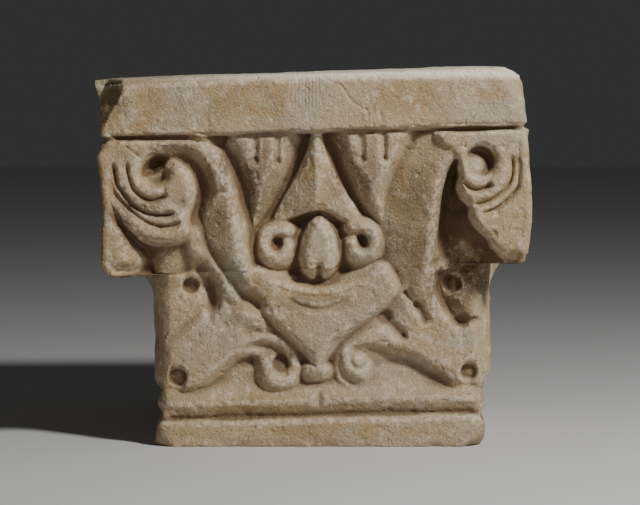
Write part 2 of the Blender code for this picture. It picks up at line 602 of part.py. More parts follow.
def stone_mesh(name):
    points = stone_points()
    rows, around = points.shape[:2]
    index = np.arange(rows * around).reshape(rows, around)
    following = np.roll(index, -1, axis=1)
    quads = np.stack([index[:-1], following[:-1], following[1:], index[1:]], axis=-1).reshape(-1, 4)
    faces = quads.tolist() + [index[0, ::-1].tolist(), index[-1].tolist()]
    mesh = bpy.data.meshes.new(name)
    mesh.from_pydata(points.reshape(-1, 3).tolist(), [], faces)
    mesh.update()
    return mesh


def stone_material():
    material = bpy.data.materials.new("warm_marble")
    material.use_nodes = True
    shader = material.node_tree.nodes["Principled BSDF"]
    shader.inputs["Base Color"].default_value = (0.42, 0.31, 0.21, 1)
    shader.inputs["Roughness"].default_value = 0.75
    return material


def facets(polygons):
    return sum(len(polygon.vertices) - 2 for polygon in polygons)


def reduce_facets(block, in_zone, target):
    """Reduces the facets of one zone of the block and leaves the others as they are."""
    mesh = block.data
    zone = block.vertex_groups.new(name="zone")
    zone.add([vertex.index for vertex in mesh.vertices if in_zone(vertex.co)], 1.0, "REPLACE")
    outside = facets(polygon for polygon in mesh.polygons if not in_zone(polygon.center))
    fewer = block.modifiers.new("fewer_facets", "DECIMATE")
    fewer.ratio = (outside + target) / facets(mesh.polygons)
    fewer.vertex_group = zone.name
    depsgraph = bpy.context.evaluated_depsgraph_get()
    block.data = bpy.data.meshes.new_from_object(block.evaluated_get(depsgraph))
    block.modifiers.remove(fewer)
    block.vertex_groups.clear()


def flatten_beds(mesh, top_centre):
    """Brings every point beside the top and bottom beds exactly onto them."""
    for vertex in mesh.vertices:
        top = top_centre + LEAN * vertex.co.x
        if vertex.co.z < BED_TOLERANCE:
            vertex.co.z = 0
        if vertex.co.z > top - BED_TOLERANCE:
            vertex.co.z = top


def main():
    for other in list(bpy.data.objects):
        bpy.data.objects.remove(other)
    mesh = stone_mesh("carved_stone")
    mesh.materials.append(stone_material())
    top_centre = max(vertex.co.z - LEAN * vertex.co.x for vertex in mesh.vertices)
    block = bpy.data.objects.new("capital_block", mesh)
    bpy.context.scene.collection.objects.link(block)
    reduce_facets(block, lambda point: point.y > -FRONT_ZONE, PLAIN_FACETS)
    reduce_facets(block, lambda point: point.y <= -FRONT_ZONE, FRONT_FACETS)
    flatten_beds(block.data, top_centre)


main()
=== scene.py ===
"""The dressed column capital: its carving, wear and stone, on a pale floor in soft studio light.

The stone is carved here with the same cuts as the solid, on a finer grid, and then worn, chipped,
pitted and stained, with shade painted into its hollows and onto flanks that lie in shade, and
highlight painted onto its worn edges. Sizes are in metres unless a comment says otherwise, with the front
toward -Y.
"""
from functools import reduce

import bpy
import numpy as np
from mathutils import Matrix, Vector


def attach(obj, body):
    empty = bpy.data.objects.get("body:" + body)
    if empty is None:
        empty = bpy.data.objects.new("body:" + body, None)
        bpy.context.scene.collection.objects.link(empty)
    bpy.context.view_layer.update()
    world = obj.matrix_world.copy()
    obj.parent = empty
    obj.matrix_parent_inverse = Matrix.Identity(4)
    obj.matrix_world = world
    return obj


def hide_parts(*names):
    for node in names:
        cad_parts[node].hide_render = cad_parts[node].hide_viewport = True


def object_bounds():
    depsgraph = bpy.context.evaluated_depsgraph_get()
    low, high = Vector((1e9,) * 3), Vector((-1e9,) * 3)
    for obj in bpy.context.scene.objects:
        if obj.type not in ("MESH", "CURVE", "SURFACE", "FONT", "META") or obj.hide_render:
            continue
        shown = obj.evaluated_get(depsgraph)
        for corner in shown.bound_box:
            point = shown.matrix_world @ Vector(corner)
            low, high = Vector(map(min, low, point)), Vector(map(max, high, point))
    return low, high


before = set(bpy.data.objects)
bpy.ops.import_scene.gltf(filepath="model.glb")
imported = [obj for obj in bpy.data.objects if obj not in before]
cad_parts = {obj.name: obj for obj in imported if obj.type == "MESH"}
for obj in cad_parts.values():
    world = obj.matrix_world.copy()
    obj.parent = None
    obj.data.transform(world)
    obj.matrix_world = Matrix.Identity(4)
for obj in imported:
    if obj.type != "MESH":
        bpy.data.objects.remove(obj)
packed_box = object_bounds()

# Overall sizes, in metres. The carving's midline is x = 0.
HEIGHT = 0.2852         # at the middle; the top leans up to the right
SLAB_WIDTH = 0.319
BODY_WIDTH = 0.252      # the lower block
SLAB_BOTTOM = 0.2399    # height of the groove under the slab, at the middle
VOLUTE_BOTTOM = 0.1370  # height of the overhanging volutes' underside, at the middle
LEAN = 0.033            # rise of the upper part per metre to the right
EDGE_WEAR = 0.004       # radius worn on the four upright corners
BREAK_DEPTH = 0.026     # how far the broken upper left corner of the slab is set back
BREAK_SLOPE = 1.7       # steepness of the break behind the slab's front
BREAK_REACH = 0.020     # how far its lower top runs out over the slab
BREAK_DROP = 0.004      # how much lower the broken corner is than the top beside it
BREAK_SQUEEZE = 0.12    # what stays of the depth of the side's points that the break pushes back
WEB = 0.005             # stone left between the hollows of two faces beside a corner
CORNER_BLEND = 0.010    # the carving dies away this near a corner

# Everything below is drawn in millimetres on a face of this size, then fitted to the stone.
DRAWN_SLAB = 319
DRAWN_WIDTH = 252
DRAWN_HEIGHT = 236
DRAWN_DEPTH = 33.5
VOLUTE_FOOT = 122       # the volutes' undersides lie outside this
UNDERSIDE_RISE = 11     # height of the bevel along them
UNDERSIDE_SLOPE = 0.9
SLAB_GROOVE_DEPTH = 7
SLAB_GROOVE_HALF = 1.2  # half its width
TOP_WEAR = 5            # how far the top arris is worn back
TOP_WORN = 6.5          # and how far down from the top

# Grid of one face: columns between the corners keep their places, the rest follow the corner.
FIXED_HALF_WIDTH = 0.100
OUTER_SPAN = 0.060      # usual width of the part of a face outside them
FRONT_STEP = 0.0008
PLAIN_STEP = 0.0018
ROW_STEP = 0.0009
EDGE_GAP = 0.0003       # from the volutes' underside to the row above it and the row below it
GROOVE_ZONE = 0.0056    # rows are twice as close this far to either side of the slab's groove
TOP_RINGS = 40

# The finished mesh.
FRONT_FACETS = 135000
PLAIN_FACETS = 60000
FRONT_ZONE = 0.110      # the front's carving lies further forward than this

# Weather. Edges are rounded over SOFTEN, and what stands proud of its surroundings is worn down.
SOFTEN = 0.0008
ARRIS = 0.0030          # how far the surroundings of a point reach
LEFT_PROUD = 0.0006     # what may still stand above them
HOLLOW = 0.0070         # how far around a point a hollow is felt
HOLLOW_FULL = 0.0050    # a point this far below its surroundings is fully darkened, with dirt and painted shade
BLUR_REACHES = 2.5      # smoothing looks this many reaches away
NOISE_CELLS = 64
SKIN = [(0.030, 0.0008), (0.012, 0.0005), (0.005, 0.00022), (0.0025, 0.00012)]    # size, depth
PITS = (0.0030, 0.5, 0.0009, 11)        # size, level of the noise where they begin, depth, seed
ARRIS_CHIPS = (0.005, 0.2, 0.0012, 12)
FOOT_CHIPS = (0.010, -0.3, 0.0040, 13)
FOOT_REACH = 0.0060     # how far up the chips of the bottom edge reach
RAGGED = [(0.009, 0.0009, 21), (0.004, 0.00045, 22)]    # skin of the breaks: size, depth, seed

# Damage on the front, drawn in millimetres like the carving.
RING_CUT = 3.5          # a narrow cut along the middle of each ring of the volutes
RING_CUT_HALF = 1.7
ROUGH_PLACES = [                        # x, z, half width, half height
    (-152, 262, 12, 14), (152, 146, 16, 14), (153, 173, 8, 12), (-112, 190, 12, 10),
]
CRACKS = [                              # depth, half width, line
    (1.2, 0.9, [(3, 279), (12, 273.8), (17.3, 272.3), (21, 267.8), (24.8, 261.8), (28.5, 258.8),
                (33.8, 255), (37.5, 252.8), (38.3, 245.3)]),
    (1.3, 1.0, [(90, 231), (96, 228), (100, 225.5), (106, 227), (111, 226.5), (115, 225)]),
    (1.3, 1.0, [(131, 225), (137.3, 227.5), (141, 226.5), (145, 229.5), (152, 229), (158, 224.5)]),
    (1.2, 1.0, [(-143, 227), (-138, 222.8), (-132.8, 219), (-130, 216)]),
    (1.6, 1.5, [(-125, 177), (-117, 176), (-110, 175.5), (-104, 179), (-99, 183)]),
    (1.0, 0.9, [(60, 231), (66, 226), (72, 224), (79, 225)]),
    (1.2, 1.0, [(84, 243), (120, 243.5), (156, 244)]),
    (1.4, 1.4, [(104, 97), (110, 94), (117, 97), (126, 96)]),
]
CHIPS = [                               # place, radius, depth
    ((-101, 182), 5, 2.5), ((132, 162), 3, 2), ((9.8, 63.8), 1.2, 1.5), ((-13.5, 65), 1, 1.5),
    ((-70, 92), 2.5, 1.2), ((156, 226), 5, 2), ((-146, 195), 2, 1), ((55, 27), 1.5, 1),
]
BRIDGE = [(-93, 239, 0.5), (-87, 234, 1.5)]     # stone left standing in the groove under the slab
COMBED = [(-24, 250), (8, 277)]                 # lower left and upper right corner
COMB_SPACING = 5.2
COMB_DEPTH = 0.5
COMB_FADE = (6, 8)                              # how softly the marks begin, across and upward
CRACK_FADE = (0.06, 0.06)                       # share of a crack's length that runs out at each end

# Stains on the front: x, z, half width, half height, in drawn millimetres. The third list is patina with
# painted shade on flanks that lie in shade; the fourth is painted shade, most of it the painted shadow
# under the right volute's overhang.
PATCH_END = 1.5         # a patch fades out this many times its size away from its middle
STAINS = {
    "rusty": [
        (-139, 254, 30, 20), (-50, 260, 38, 14), (66, 264, 24, 14), (130, 265, 12, 6), (-151, 151, 17, 26),
        (-115, 163, 22, 9), (-152, 223, 12, 9), (-45, 32, 34, 9), (3, 205, 16, 24), (-124, 60, 6, 60),
        (20, 12, 60, 6), (-157, 197, 8, 26), (-130, 138, 14, 8), (150, 142, 20, 6), (60, 195, 8, 24),
    ],
    "grey": [
        (-97, 257, 18, 16), (-70, 88, 26, 15), (130, 253, 16, 9), (-62, 135, 10, 26), (25, 9, 12, 6),
        (-2, 268, 16, 12), (110, 82, 16, 9), (45, 160, 20, 20), (60, 60, 30, 10),
    ],
    # patina, and painted shade on flanks that lie in shade and under the right volute
    "patina_and_shade": [
        (-77, 181, 15, 42), (-41, 200, 15, 30), (-110, 224, 22, 7), (-146, 172, 10, 22), (17, 211, 9, 28),
        (34, 206, 12, 24), (80, 175, 16, 42), (104, 127, 24, 24), (96, 52, 14, 9), (111, 97, 10, 6),
        (-118, 150, 14, 10), (0, 110, 30, 7), (-150, 262, 8, 14), (-36, 66, 12, 10), (-60, 197, 5, 26),
        (60, 155, 16, 10), (-130, 185, 14, 9),
    ],
    # painted shade, most of it the painted shadow under the right volute's overhang
    "painted_shade": [
        (104, 124, 20, 22), (126, 129, 8, 14), (100, 165, 10, 30), (-50, 194, 9, 22), (15, 218, 5, 18),
        (-145, 170, 5, 16), (114, 98, 9, 4), (-70, 208, 4, 16),
    ],
}

# The stone.
BEIGE = (0.405, 0.298, 0.168)
ORANGE = (0.33, 0.205, 0.088)
# the colour of patina, also laid on as painted shade
BROWN = (0.215, 0.145, 0.072)
GREY = (0.37, 0.315, 0.215)
# worn stone, also used as painted highlight on edges
PALE = (0.84, 0.75, 0.58)
# real dirt in fine specks, and painted shade in hollows and under the right volute
DIRT_AND_SHADE = (0.120, 0.065, 0.026)
ROUGHNESS = (0.58, 0.80)
GLOSS_PATCHES = (0.010, 4, 0.3, 0.7)    # size, detail, and the noise between which they fade in
GRAIN = (0.0016, 4, 0.2, 0.8)           # the same for the grain that is too fine to carve
GRAIN_STRENGTH = 0.8
GRAIN_HEIGHT = 0.0005

# Studio.
FLOOR_COLOUR = (0.60, 0.60, 0.59)
FLOOR_ROUGHNESS = 0.9
FLOOR_HALF = 6
STUDIO_COLOUR = (0.80, 0.81, 0.83)
STUDIO_STRENGTH = 0.045
LIGHTS = [                              # name, place, size, power
    ("key", (0.97, -1.18, 1.27), 0.22, 38),
    ("fill", (-1.2, -2.6, 1.0), 1.5, 2.5),
]
VIEW_WIDTH = 0.480                      # at the slab's front
VIEW_CENTRE = (0.00225, 0.1510)         # from the carving's midline, and above the floor
VIEW_DISTANCE = 2.3
CAMERA_HEIGHT = 0.295
SENSOR_WIDTH = 36

SLAB_HALF = SLAB_WIDTH / 2
OVERHANG = (SLAB_WIDTH - BODY_WIDTH) / 2
FIT = np.array([BODY_WIDTH / DRAWN_WIDTH, SLAB_BOTTOM / DRAWN_HEIGHT, OVERHANG / DRAWN_DEPTH])
SLAB_FIT = SLAB_WIDTH / DRAWN_SLAB
BELL_FOOT = 60          # above this height the ground of the carving leans forward
BELL_CURVE = 1.2
GROUND_DEPTH = 43       # of the ground at the bell's foot
GROUND_RISE = 16        # how far it comes forward under the slab
LEAF_DEPTH = 27         # the same for the side leaves
LEAF_RISE = 22

# How far the worn corners stand from the midline, from the bed up: (height, left, right). The second
# list begins where the volutes overhang.
CORNERS_BELOW = [
    (0, 118, 118), (4, 120, 124), (9, 121, 126), (17, 121, 128), (25, 119, 125), (40, 119, 126),
    (55, 120, 128), (80, 120, 128), (110, 121, 128), (132, 122, 128),
]
CORNERS_ABOVE = [
    (134, 152, 154), (136, 158, 157), (143, 162, 159), (165, 162, 161), (182, 161, 161), (208, 163, 159),
    (225, 165, 158), (232, 161, 157), (236, 158, 155), (240, 162, 157), (258, 162, 153), (268, 161, 150),
    (274, 159, 145), (278, 158, 138), (281, 157, 130),
]

# The broken corner's edge on the slab's front, from the bottom up: (height, across).
BREAK_EDGE = [(234, -164), (244, -157), (252, -154), (258, -149), (268, -145), (280, -141)]


def ease(share):
    """A smooth step from 0 to 1."""
    share = np.clip(share, 0, 1)
    return share * share * (3 - 2 * share)


def swell(share):
    """A quarter round: 0 at an edge, 1 where the surface has come level."""
    return np.sqrt(1 - (1 - np.clip(share, 0, 1)) ** 2)


def bevel(share):
    """A straight slope with its upper edge eased: 0 at an edge, 1 where the surface has come level."""
    share = np.clip(share, 0, 1)
    return share + 0.3 * share * (1 - share)


def blend_max(a, b, blunt):
    """The higher of two surfaces, with the inner corner between them eased."""
    share = np.clip(0.5 + (a - b) / (2 * blunt), 0, 1)
    return b + (a - b) * share + blunt * share * (1 - share)


def smooth_line(points, closed=False, spans=5):
    """A smooth line through drawn points (x, z, depth); the depth may be left out."""
    p = np.array([(*point, 0)[:3] for point in points], float)
    if closed:
        p = np.vstack([p[-1], p, p[0], p[1]])
    else:
        p = np.vstack([2 * p[0] - p[1], p, 2 * p[-1] - p[-2]])
    t = np.linspace(0, 1, spans, endpoint=False)[:, None]
    runs = []
    for a, b, c, d in zip(p, p[1:], p[2:], p[3:]):
        bend = (2 * a - 5 * b + 4 * c - d) * t + (3 * b - a - 3 * c + d) * t * t
        runs.append(b + 0.5 * t * (c - a + bend))
    return np.vstack(runs + [p[-2:-1]])


def nearest(line, x, z):
    """Distance to a line, side of it (+1 on its left), its depth there and the share along it."""
    away = np.full(x.shape, np.inf)
    side = np.ones(x.shape)
    depth = np.zeros(x.shape)
    along = np.zeros(x.shape)
    lengths = np.hypot(*np.diff(line[:, :2], axis=0).T)
    run = 0
    for start, end, length in zip(line, line[1:], lengths):
        if length == 0:
            continue
        dx, dz = (end[:2] - start[:2]) / length
        off_x, off_z = x - start[0], z - start[1]
        t = np.clip(off_x * dx + off_z * dz, 0, length)
        distance = np.hypot(off_x - t * dx, off_z - t * dz)
        closer = distance < away
        away = np.where(closer, distance, away)
        side = np.where(closer, np.where(dx * off_z >= dz * off_x, 1, -1), side)
        depth = np.where(closer, start[2] + (end[2] - start[2]) * t / length, depth)
        along = np.where(closer, (run + t) / lengths.sum(), along)
        run += length
    return away, side, depth, along


def inset(line, x, z):
    """Distance inside a closed line, negative outside it."""
    inside = np.zeros(x.shape, bool)
    for (x0, z0, _), (x1, z1, _) in zip(line, line[1:]):
        if z0 != z1:
            inside ^= ((z0 > z) != (z1 > z)) & (x < x0 + (z - z0) * (x1 - x0) / (z1 - z0))
    away = nearest(line, x, z)[0]
    return np.where(inside, away, -away)


class Face:
    """One face of the stone. h is how far each point stands out of the slab's plane.

    Depths are given behind the slab's plane. Each tool works only on the part of the face around its
    line, and takes lengths in drawn millimetres.
    """

    def __init__(self, x, z):
        self.x = x
        self.z = z
        rise = np.clip((z - BELL_FOOT) / (DRAWN_HEIGHT - BELL_FOOT), 0, 1) ** BELL_CURVE
        self.leaf_depth = LEAF_DEPTH - LEAF_RISE * rise
        self.h = GROUND_RISE * rise - GROUND_DEPTH

    def around(self, line, reach):
        """The points that lie in the box of a line, widened by the reach."""
        low = line[:, :2].min(axis=0) - reach
        high = line[:, :2].max(axis=0) + reach
        return (self.x > low[0]) & (self.x < high[0]) & (self.z > low[1]) & (self.z < high[1])

    def pad(self, outline, depth, fall=2.0, edge=2.0, roll=3.5, blunt=0.5, rim=swell):
        """A raised field whose rim is rolled or bevelled. Outside its outline it falls steeply away."""
        line = smooth_line(outline, closed=True)
        near = self.around(line, 20)
        s = inset(line, self.x[near], self.z[near])
        top = -np.broadcast_to(depth, self.x.shape)[near] - edge * (1 - rim(s / roll))
        self.h[near] = blend_max(self.h[near], top + fall * np.minimum(s, 0), blunt)

    def ridge(self, points, left, right, crest=2.0, blunt=0.5, where=True):
        """A raised line. left and right are the slopes of its two flanks."""
        line = smooth_line(points)
        near = self.around(line, 30) & where
        away, side, depth, _ = nearest(line, self.x[near], self.z[near])
        top = -depth - np.where(side > 0, left, right) * (np.hypot(away, crest) - crest)
        self.h[near] = blend_max(self.h[near], top, blunt)

    def valley(self, points, left, right, floor=1.0, reach=12.0):
        """A sunk line with two sloping flanks that reach only so far."""
        line = smooth_line(points)
        near = self.around(line, reach + 3)
        away, side, depth, _ = nearest(line, self.x[near], self.z[near])
        slope = np.where(side > 0, left, right)
        low = slope * (np.hypot(away, floor) - floor) - depth + 4 * np.maximum(0, away - reach)
        self.h[near] = -blend_max(-self.h[near], -low, 0.5)

    def groove(self, points, depth, width, fade=(0.12, 0.12), lean=0.0):
        """A V cut below whatever surface is there, running out at both ends."""
        line = smooth_line(points)
        near = self.around(line, 2 * width)
        away, side, _, along = nearest(line, self.x[near], self.z[near])
        reach = width * (1 + lean * side)
        ends = ease(along / max(fade[0], 0.001)) * ease((1 - along) / max(fade[1], 0.001))
        self.h[near] -= depth * np.clip(1 - away / reach, 0, 1) * ends

    def drill(self, point, radius, depth, wall=1.5):
        """A round hole below whatever surface is there."""
        away = np.hypot(self.x - point[0], self.z - point[1])
        self.h -= depth * ease((radius - away) / wall + 0.5)

    def sink(self, outline, rim, depth, roll):
        """A hollow: rim deep at its outline, and depth deeper inside."""
        s = inset(smooth_line(outline, closed=True), self.x, self.z)
        self.h = np.where(s > 0, np.minimum(self.h, -(rim + depth * swell(s / roll))), self.h)


# The middle of a face: the spear, the bowl under it with a bud, and the cup.
SPEAR = [
    (0, 239), (4, 225), (10, 211.5), (17, 198), (25, 185), (34, 171), (25, 170), (13.5, 175.5), (1, 180),
    (-11, 178), (-22, 173), (-34.5, 167), (-35, 170), (-27, 184), (-19.5, 196.5), (-13, 208), (-6, 223),
]
SPEAR_RIB = [(167, 13), (182, 11), (215, 7.5), (238, 5.5)]   # height, depth of its sharp middle rib
SPEAR_FOOT_RIGHT = [(1.5, 235, 8), (10.5, 215, 13), (19, 200, 17), (27, 187, 20), (37, 171, 23)]
SPEAR_FOOT_LEFT = [
    (-1.5, 235, 8), (-7.5, 219, 12), (-13.5, 206, 16), (-21, 194, 19), (-28.5, 183, 21),
    (-37.5, 169, 23),
]
BOWL = [
    (-37, 169), (-20, 175), (0, 178.5), (17, 175.5), (34, 170), (47, 160), (50, 146), (44.5, 134),
    (25, 124), (1, 120), (-20.5, 124), (-37, 131), (-44, 144), (-44, 157),
]
BUD = [
    (1.5, 176), (9, 169), (14, 157), (16, 144), (12, 134), (5.5, 128), (1.5, 137), (-3, 128), (-10, 134),
    (-13, 144), (-11, 157), (-6, 169),
]
BUD_SPLIT = [(1.5, 181.5), (1, 169)]
CURL_LEFT = [
    (-23, 151.5, 19), (-25.5, 145, 17.5), (-31, 142.5, 17), (-37.5, 145.5, 17), (-40, 153, 17),
    (-37.5, 160.5, 18), (-31, 164, 19), (-23, 163.5, 19),
]
CURL_RIGHT = [
    (27, 154, 19), (29, 147, 17.5), (34.5, 145, 17), (41, 148, 17), (43.5, 155, 17), (41, 163, 18),
    (34.5, 166.5, 19), (27, 166, 19),
]
CUP = [
    (-61, 136), (-41.5, 134), (-20.5, 124), (1, 120), (23.5, 124.5), (46, 136), (56.5, 131), (61.5, 119),
    (51.5, 106.5), (34, 94), (17.5, 82), (6, 69), (1, 59), (-6, 71), (-20.5, 84), (-35.5, 98),
    (-49.5, 112), (-58.5, 124),
]
CUP_RIMS = [
    [(-46, 133), (-22.5, 127), (1, 124.5), (24, 127), (47.5, 133)],
    [(-35.5, 124.5), (-17.5, 117), (1, 115), (19, 117), (37, 124.5)],
    [(-25, 115.5), (-12, 108), (1, 105), (13.5, 108), (26.5, 115.5)],
]
KNOB = [(-4.5, 57.5, 28), (3.5, 57.5, 28)]
SPEAR_SLOPE = 0.42      # of its two facets, back from the rib
SPEAR_FALL = 3          # beside it
CUP_DEPTH = 17.5
PLAIN_CUP_DEPTH = 24.5  # on the sides and back
CUP_TOP = 135
CUP_HEIGHT = 75
CUP_DROP = 9            # how much deeper its foot lies
CUP_BEND = 0.03         # and its sides, for each millimetre outward


def carve_middle(face, plain):
    """The spear, the bowl with its bud and two curls, the cup and the knob under it."""
    s = inset(smooth_line(SPEAR, closed=True), face.x, face.z)
    rib_depth = np.interp(face.z, *zip(*SPEAR_RIB))
    spear = -rib_depth - SPEAR_SLOPE * np.abs(face.x) + SPEAR_FALL * np.minimum(s, 0)
    face.h = np.where(s > -4, blend_max(face.h, spear, 0.3), face.h)
    face.valley(SPEAR_FOOT_RIGHT, left=1.1, right=2.5)
    face.valley(SPEAR_FOOT_LEFT, left=2.5, right=1.1)
    face.h = np.where(s > 0, np.maximum(face.h, spear), face.h)

    face.sink(BOWL, rim=17.5, depth=9, roll=8)
    face.pad(BUD, depth=14.5, fall=2.5, edge=8.5, roll=9, blunt=0.4)
    face.groove(BUD_SPLIT, depth=3, width=3, fade=(0.2, 0.5))
    for curl, eye in ((CURL_LEFT, (-31, 153)), (CURL_RIGHT, (34.5, 155))):
        face.ridge(curl, left=1.6, right=1.6)
        face.drill(eye, radius=5, depth=4)

    drop = np.clip((CUP_TOP - face.z) / CUP_HEIGHT, 0, 1) ** 0.8
    depth = PLAIN_CUP_DEPTH if plain else CUP_DEPTH
    face.pad(CUP, depth + CUP_DROP * drop + CUP_BEND * np.abs(face.x), fall=1.3, edge=4, roll=7)
    if not plain:
        for rim in CUP_RIMS:
            face.groove(rim, depth=2, width=3.2, fade=(0.15, 0.15), lean=-0.5)
    face.ridge(KNOB, left=1.7, right=1.7, crest=3)


# The left half, which the plain faces repeat on both sides.
SIDE_LEAF_LEFT = [
    (-79, 235), (-90, 262), (-45, 268), (8, 264), (-2, 237), (-9, 223), (-16, 208), (-23, 193),
    (-32, 179), (-40, 166), (-47, 149), (-52.5, 148), (-55.5, 166.5), (-59, 181.5), (-64, 196.5),
    (-71, 214), (-77, 224),
]
NOTCHES_LEFT = [[(-46, 241), (-46.5, 216)], [(-29, 241), (-30, 215)]]
STEM_LEFT = [
    (-148, 227, 1), (-118, 228.5, 1), (-99, 228, 1.5), (-88, 226, 2), (-80, 219, 2.5), (-74, 207, 3.5),
    (-70, 196, 5), (-66.5, 181.5, 7), (-63, 166.5, 9), (-60, 151.5, 12), (-57, 139, 15),
    (-51, 127, 20), (-45, 116, 26), (-40, 106, 32),
]
CANAL_LEFT = [
    (-88, 200, 17), (-88, 186, 19), (-89, 172, 21), (-86, 155, 23), (-76, 139, 27), (-61, 121.5, 33),
]
VOLUTE_LEFT = [
    (-174, 231), (-155, 232), (-132, 232), (-126, 222), (-117, 218), (-112, 216), (-103, 214),
    (-96, 208), (-91.5, 200), (-90.5, 191), (-93, 182), (-97, 176), (-96.5, 166), (-103, 157.5),
    (-116, 155.5), (-128, 157), (-138, 162.5), (-146, 169), (-154, 178), (-163, 187), (-174, 193),
]
VOLUTE_FOOT_LEFT = [
    (-124, 209, 10), (-114, 217, 10.5), (-104, 217, 12), (-95, 212, 14), (-89.5, 203, 16),
    (-87.5, 192.5, 18), (-89, 183, 19), (-91.5, 174, 20), (-90.5, 164, 21), (-87, 153.5, 22),
    (-82, 144, 25), (-75, 133.5, 28), (-68, 124, 31), (-60, 114, 33), (-50, 105, 35),
]
LOBE_LEFT = [
    (-174, 189), (-160.5, 183), (-152, 173), (-145, 160), (-139.5, 146), (-140.5, 137), (-147, 132),
    (-157.5, 128), (-175.5, 126),
]
NECK_LEFT = [(-112, 153, 13), (-115.5, 138, 21), (-120.5, 121.5, 31)]
RINGS_LEFT = [
    ([(-142.5, 217), (-142, 207), (-139.5, 198.5), (-135.5, 192.5), (-129, 188), (-121.5, 187),
      (-111, 192)], 4.6, 4),
    ([(-153, 217), (-152, 207), (-150, 198.5), (-144.5, 190.5), (-138, 183), (-129, 177.5), (-121.5, 176),
      (-112, 176), (-104, 180)], 5, 4.2),
    ([(-157, 204), (-152, 192), (-142, 181), (-133, 174), (-121.5, 168.5), (-110, 168), (-100, 172)],
     4.2, 3.8),
    ([(-160.5, 193), (-153, 179), (-144, 167), (-134, 158)], 3.4, 3.8),
]
LOW_LEAF_LEFT = [
    (-97, 165), (-94, 158), (-91, 151), (-86, 142.5), (-80, 133), (-72.5, 124.5), (-65.5, 116),
    (-60, 109.5), (-54, 107), (-48, 103.5), (-44, 97), (-42, 91.5), (-31, 90), (-23.5, 86),
    (-17.5, 79.5), (-13, 71), (-11, 61.5), (-12, 52), (-16, 44), (-22, 40.5), (-30.5, 39), (-39.5, 41),
    (-45, 46.5), (-47, 56), (-48.5, 67), (-58.5, 64.5), (-65.5, 59), (-73.5, 52), (-84.5, 44),
    (-93.5, 40), (-101, 39), (-107, 42), (-115.5, 44), (-134.5, 41), (-134, 121.5), (-124, 134),
    (-114, 139), (-103, 137), (-97, 139), (-96, 148), (-99, 158),
]
LINK_LEFT = [
    (-97, 162, 8), (-93, 153, 12), (-87, 142.5, 16.5), (-80, 133.5, 20), (-73, 124.5, 23.5),
    (-65.5, 115.5, 27), (-60, 108, 30),
]
KNUCKLE_LEFT = [(-56, 102, 27.5), (-48, 98, 27.5)]
SCOOP_LEFT = [(-88.5, 132, 32), (-84.5, 126, 36), (-81, 118, 38.5), (-80, 108, 38.5), (-82, 98, 34)]
LEAF_LINES_LEFT = [
    ([(-86, 109), (-93, 98), (-103, 89), (-114, 79), (-120, 72)], 3.6, 5, (0.1, 0.3)),
    ([(-57, 82), (-50, 86), (-43, 90)], 2.5, 5, (0.3, 0.1)),
]
CURL_SCOOP_LEFT = [(-60, 70, 31.5), (-50, 75, 36), (-38, 75, 38.5), (-29, 70, 40), (-25, 62, 41)]
LOW_LEAF_DEPTH = 30.5
LOW_LEAF_LIFT = 17      # how far the left leaf comes forward toward its tip
PLAIN_LEAF_LIFT = 6     # on the sides and back


def carve_notches(face, notches):
    """Narrow cuts from the slab down, each ending in a small drilled hole."""
    for notch in notches:
        face.groove(notch, depth=3.5, width=3.4, fade=(0, 0.12))
        face.drill(notch[-1], radius=2.4, depth=3.5)


def carve_left(face, plain):
    """The side leaf, the hollow behind the stem, and the stem."""
    face.pad(SIDE_LEAF_LEFT, face.leaf_depth, fall=1.2, edge=18, roll=19, rim=bevel)
    if not plain:
        carve_notches(face, NOTCHES_LEFT)
    face.ridge(CANAL_LEFT, left=0.3, right=0.35, crest=4, blunt=1, where=face.x < -40)
    face.ridge(STEM_LEFT, left=1.8, right=0.42, crest=4, blunt=0.8)


def carve_left_corner(face, plain):
    """The volute with its rings and eye, the lobe beside it, and the low leaf with its curl."""
    face.pad(VOLUTE_LEFT, depth=-1.5, fall=3.5)
    face.pad(LOBE_LEFT, depth=-1, fall=1.6, edge=6, roll=9)
    if not plain:
        beside = (face.x < -90) & (face.z > 118)
        face.ridge(NECK_LEFT, left=0.6, right=0.5, crest=4, blunt=0.8, where=beside)
    for ring in RINGS_LEFT:
        face.groove(*ring)
    face.valley(VOLUTE_FOOT_LEFT, left=1.0, right=4, floor=1.5)
    face.drill((-121, 208), radius=10.5, depth=12, wall=9)

    lift = PLAIN_LEAF_LIFT if plain else LOW_LEAF_LIFT
    depth = LOW_LEAF_DEPTH - lift * ease((face.z - 112) / 60)
    face.pad(LOW_LEAF_LEFT, depth, fall=1.3, edge=9, roll=9, rim=bevel)
    face.ridge(LINK_LEFT, left=1.2, right=1.5, crest=4)
    face.ridge(KNUCKLE_LEFT, left=0.7, right=0.5, crest=4)
    face.valley(SCOOP_LEFT, left=1.2, right=1.1, floor=2, reach=9)
    for line in LEAF_LINES_LEFT:
        face.groove(*line)
    face.drill((-96, 122), radius=6.4, depth=8, wall=2)
    face.drill((-106.5, 52.5), radius=6.8, depth=8, wall=2)
    face.valley(CURL_SCOOP_LEFT, left=1.2, right=0.8, floor=1.5, reach=9)
    face.drill((-28, 62), radius=6.4, depth=6, wall=2)


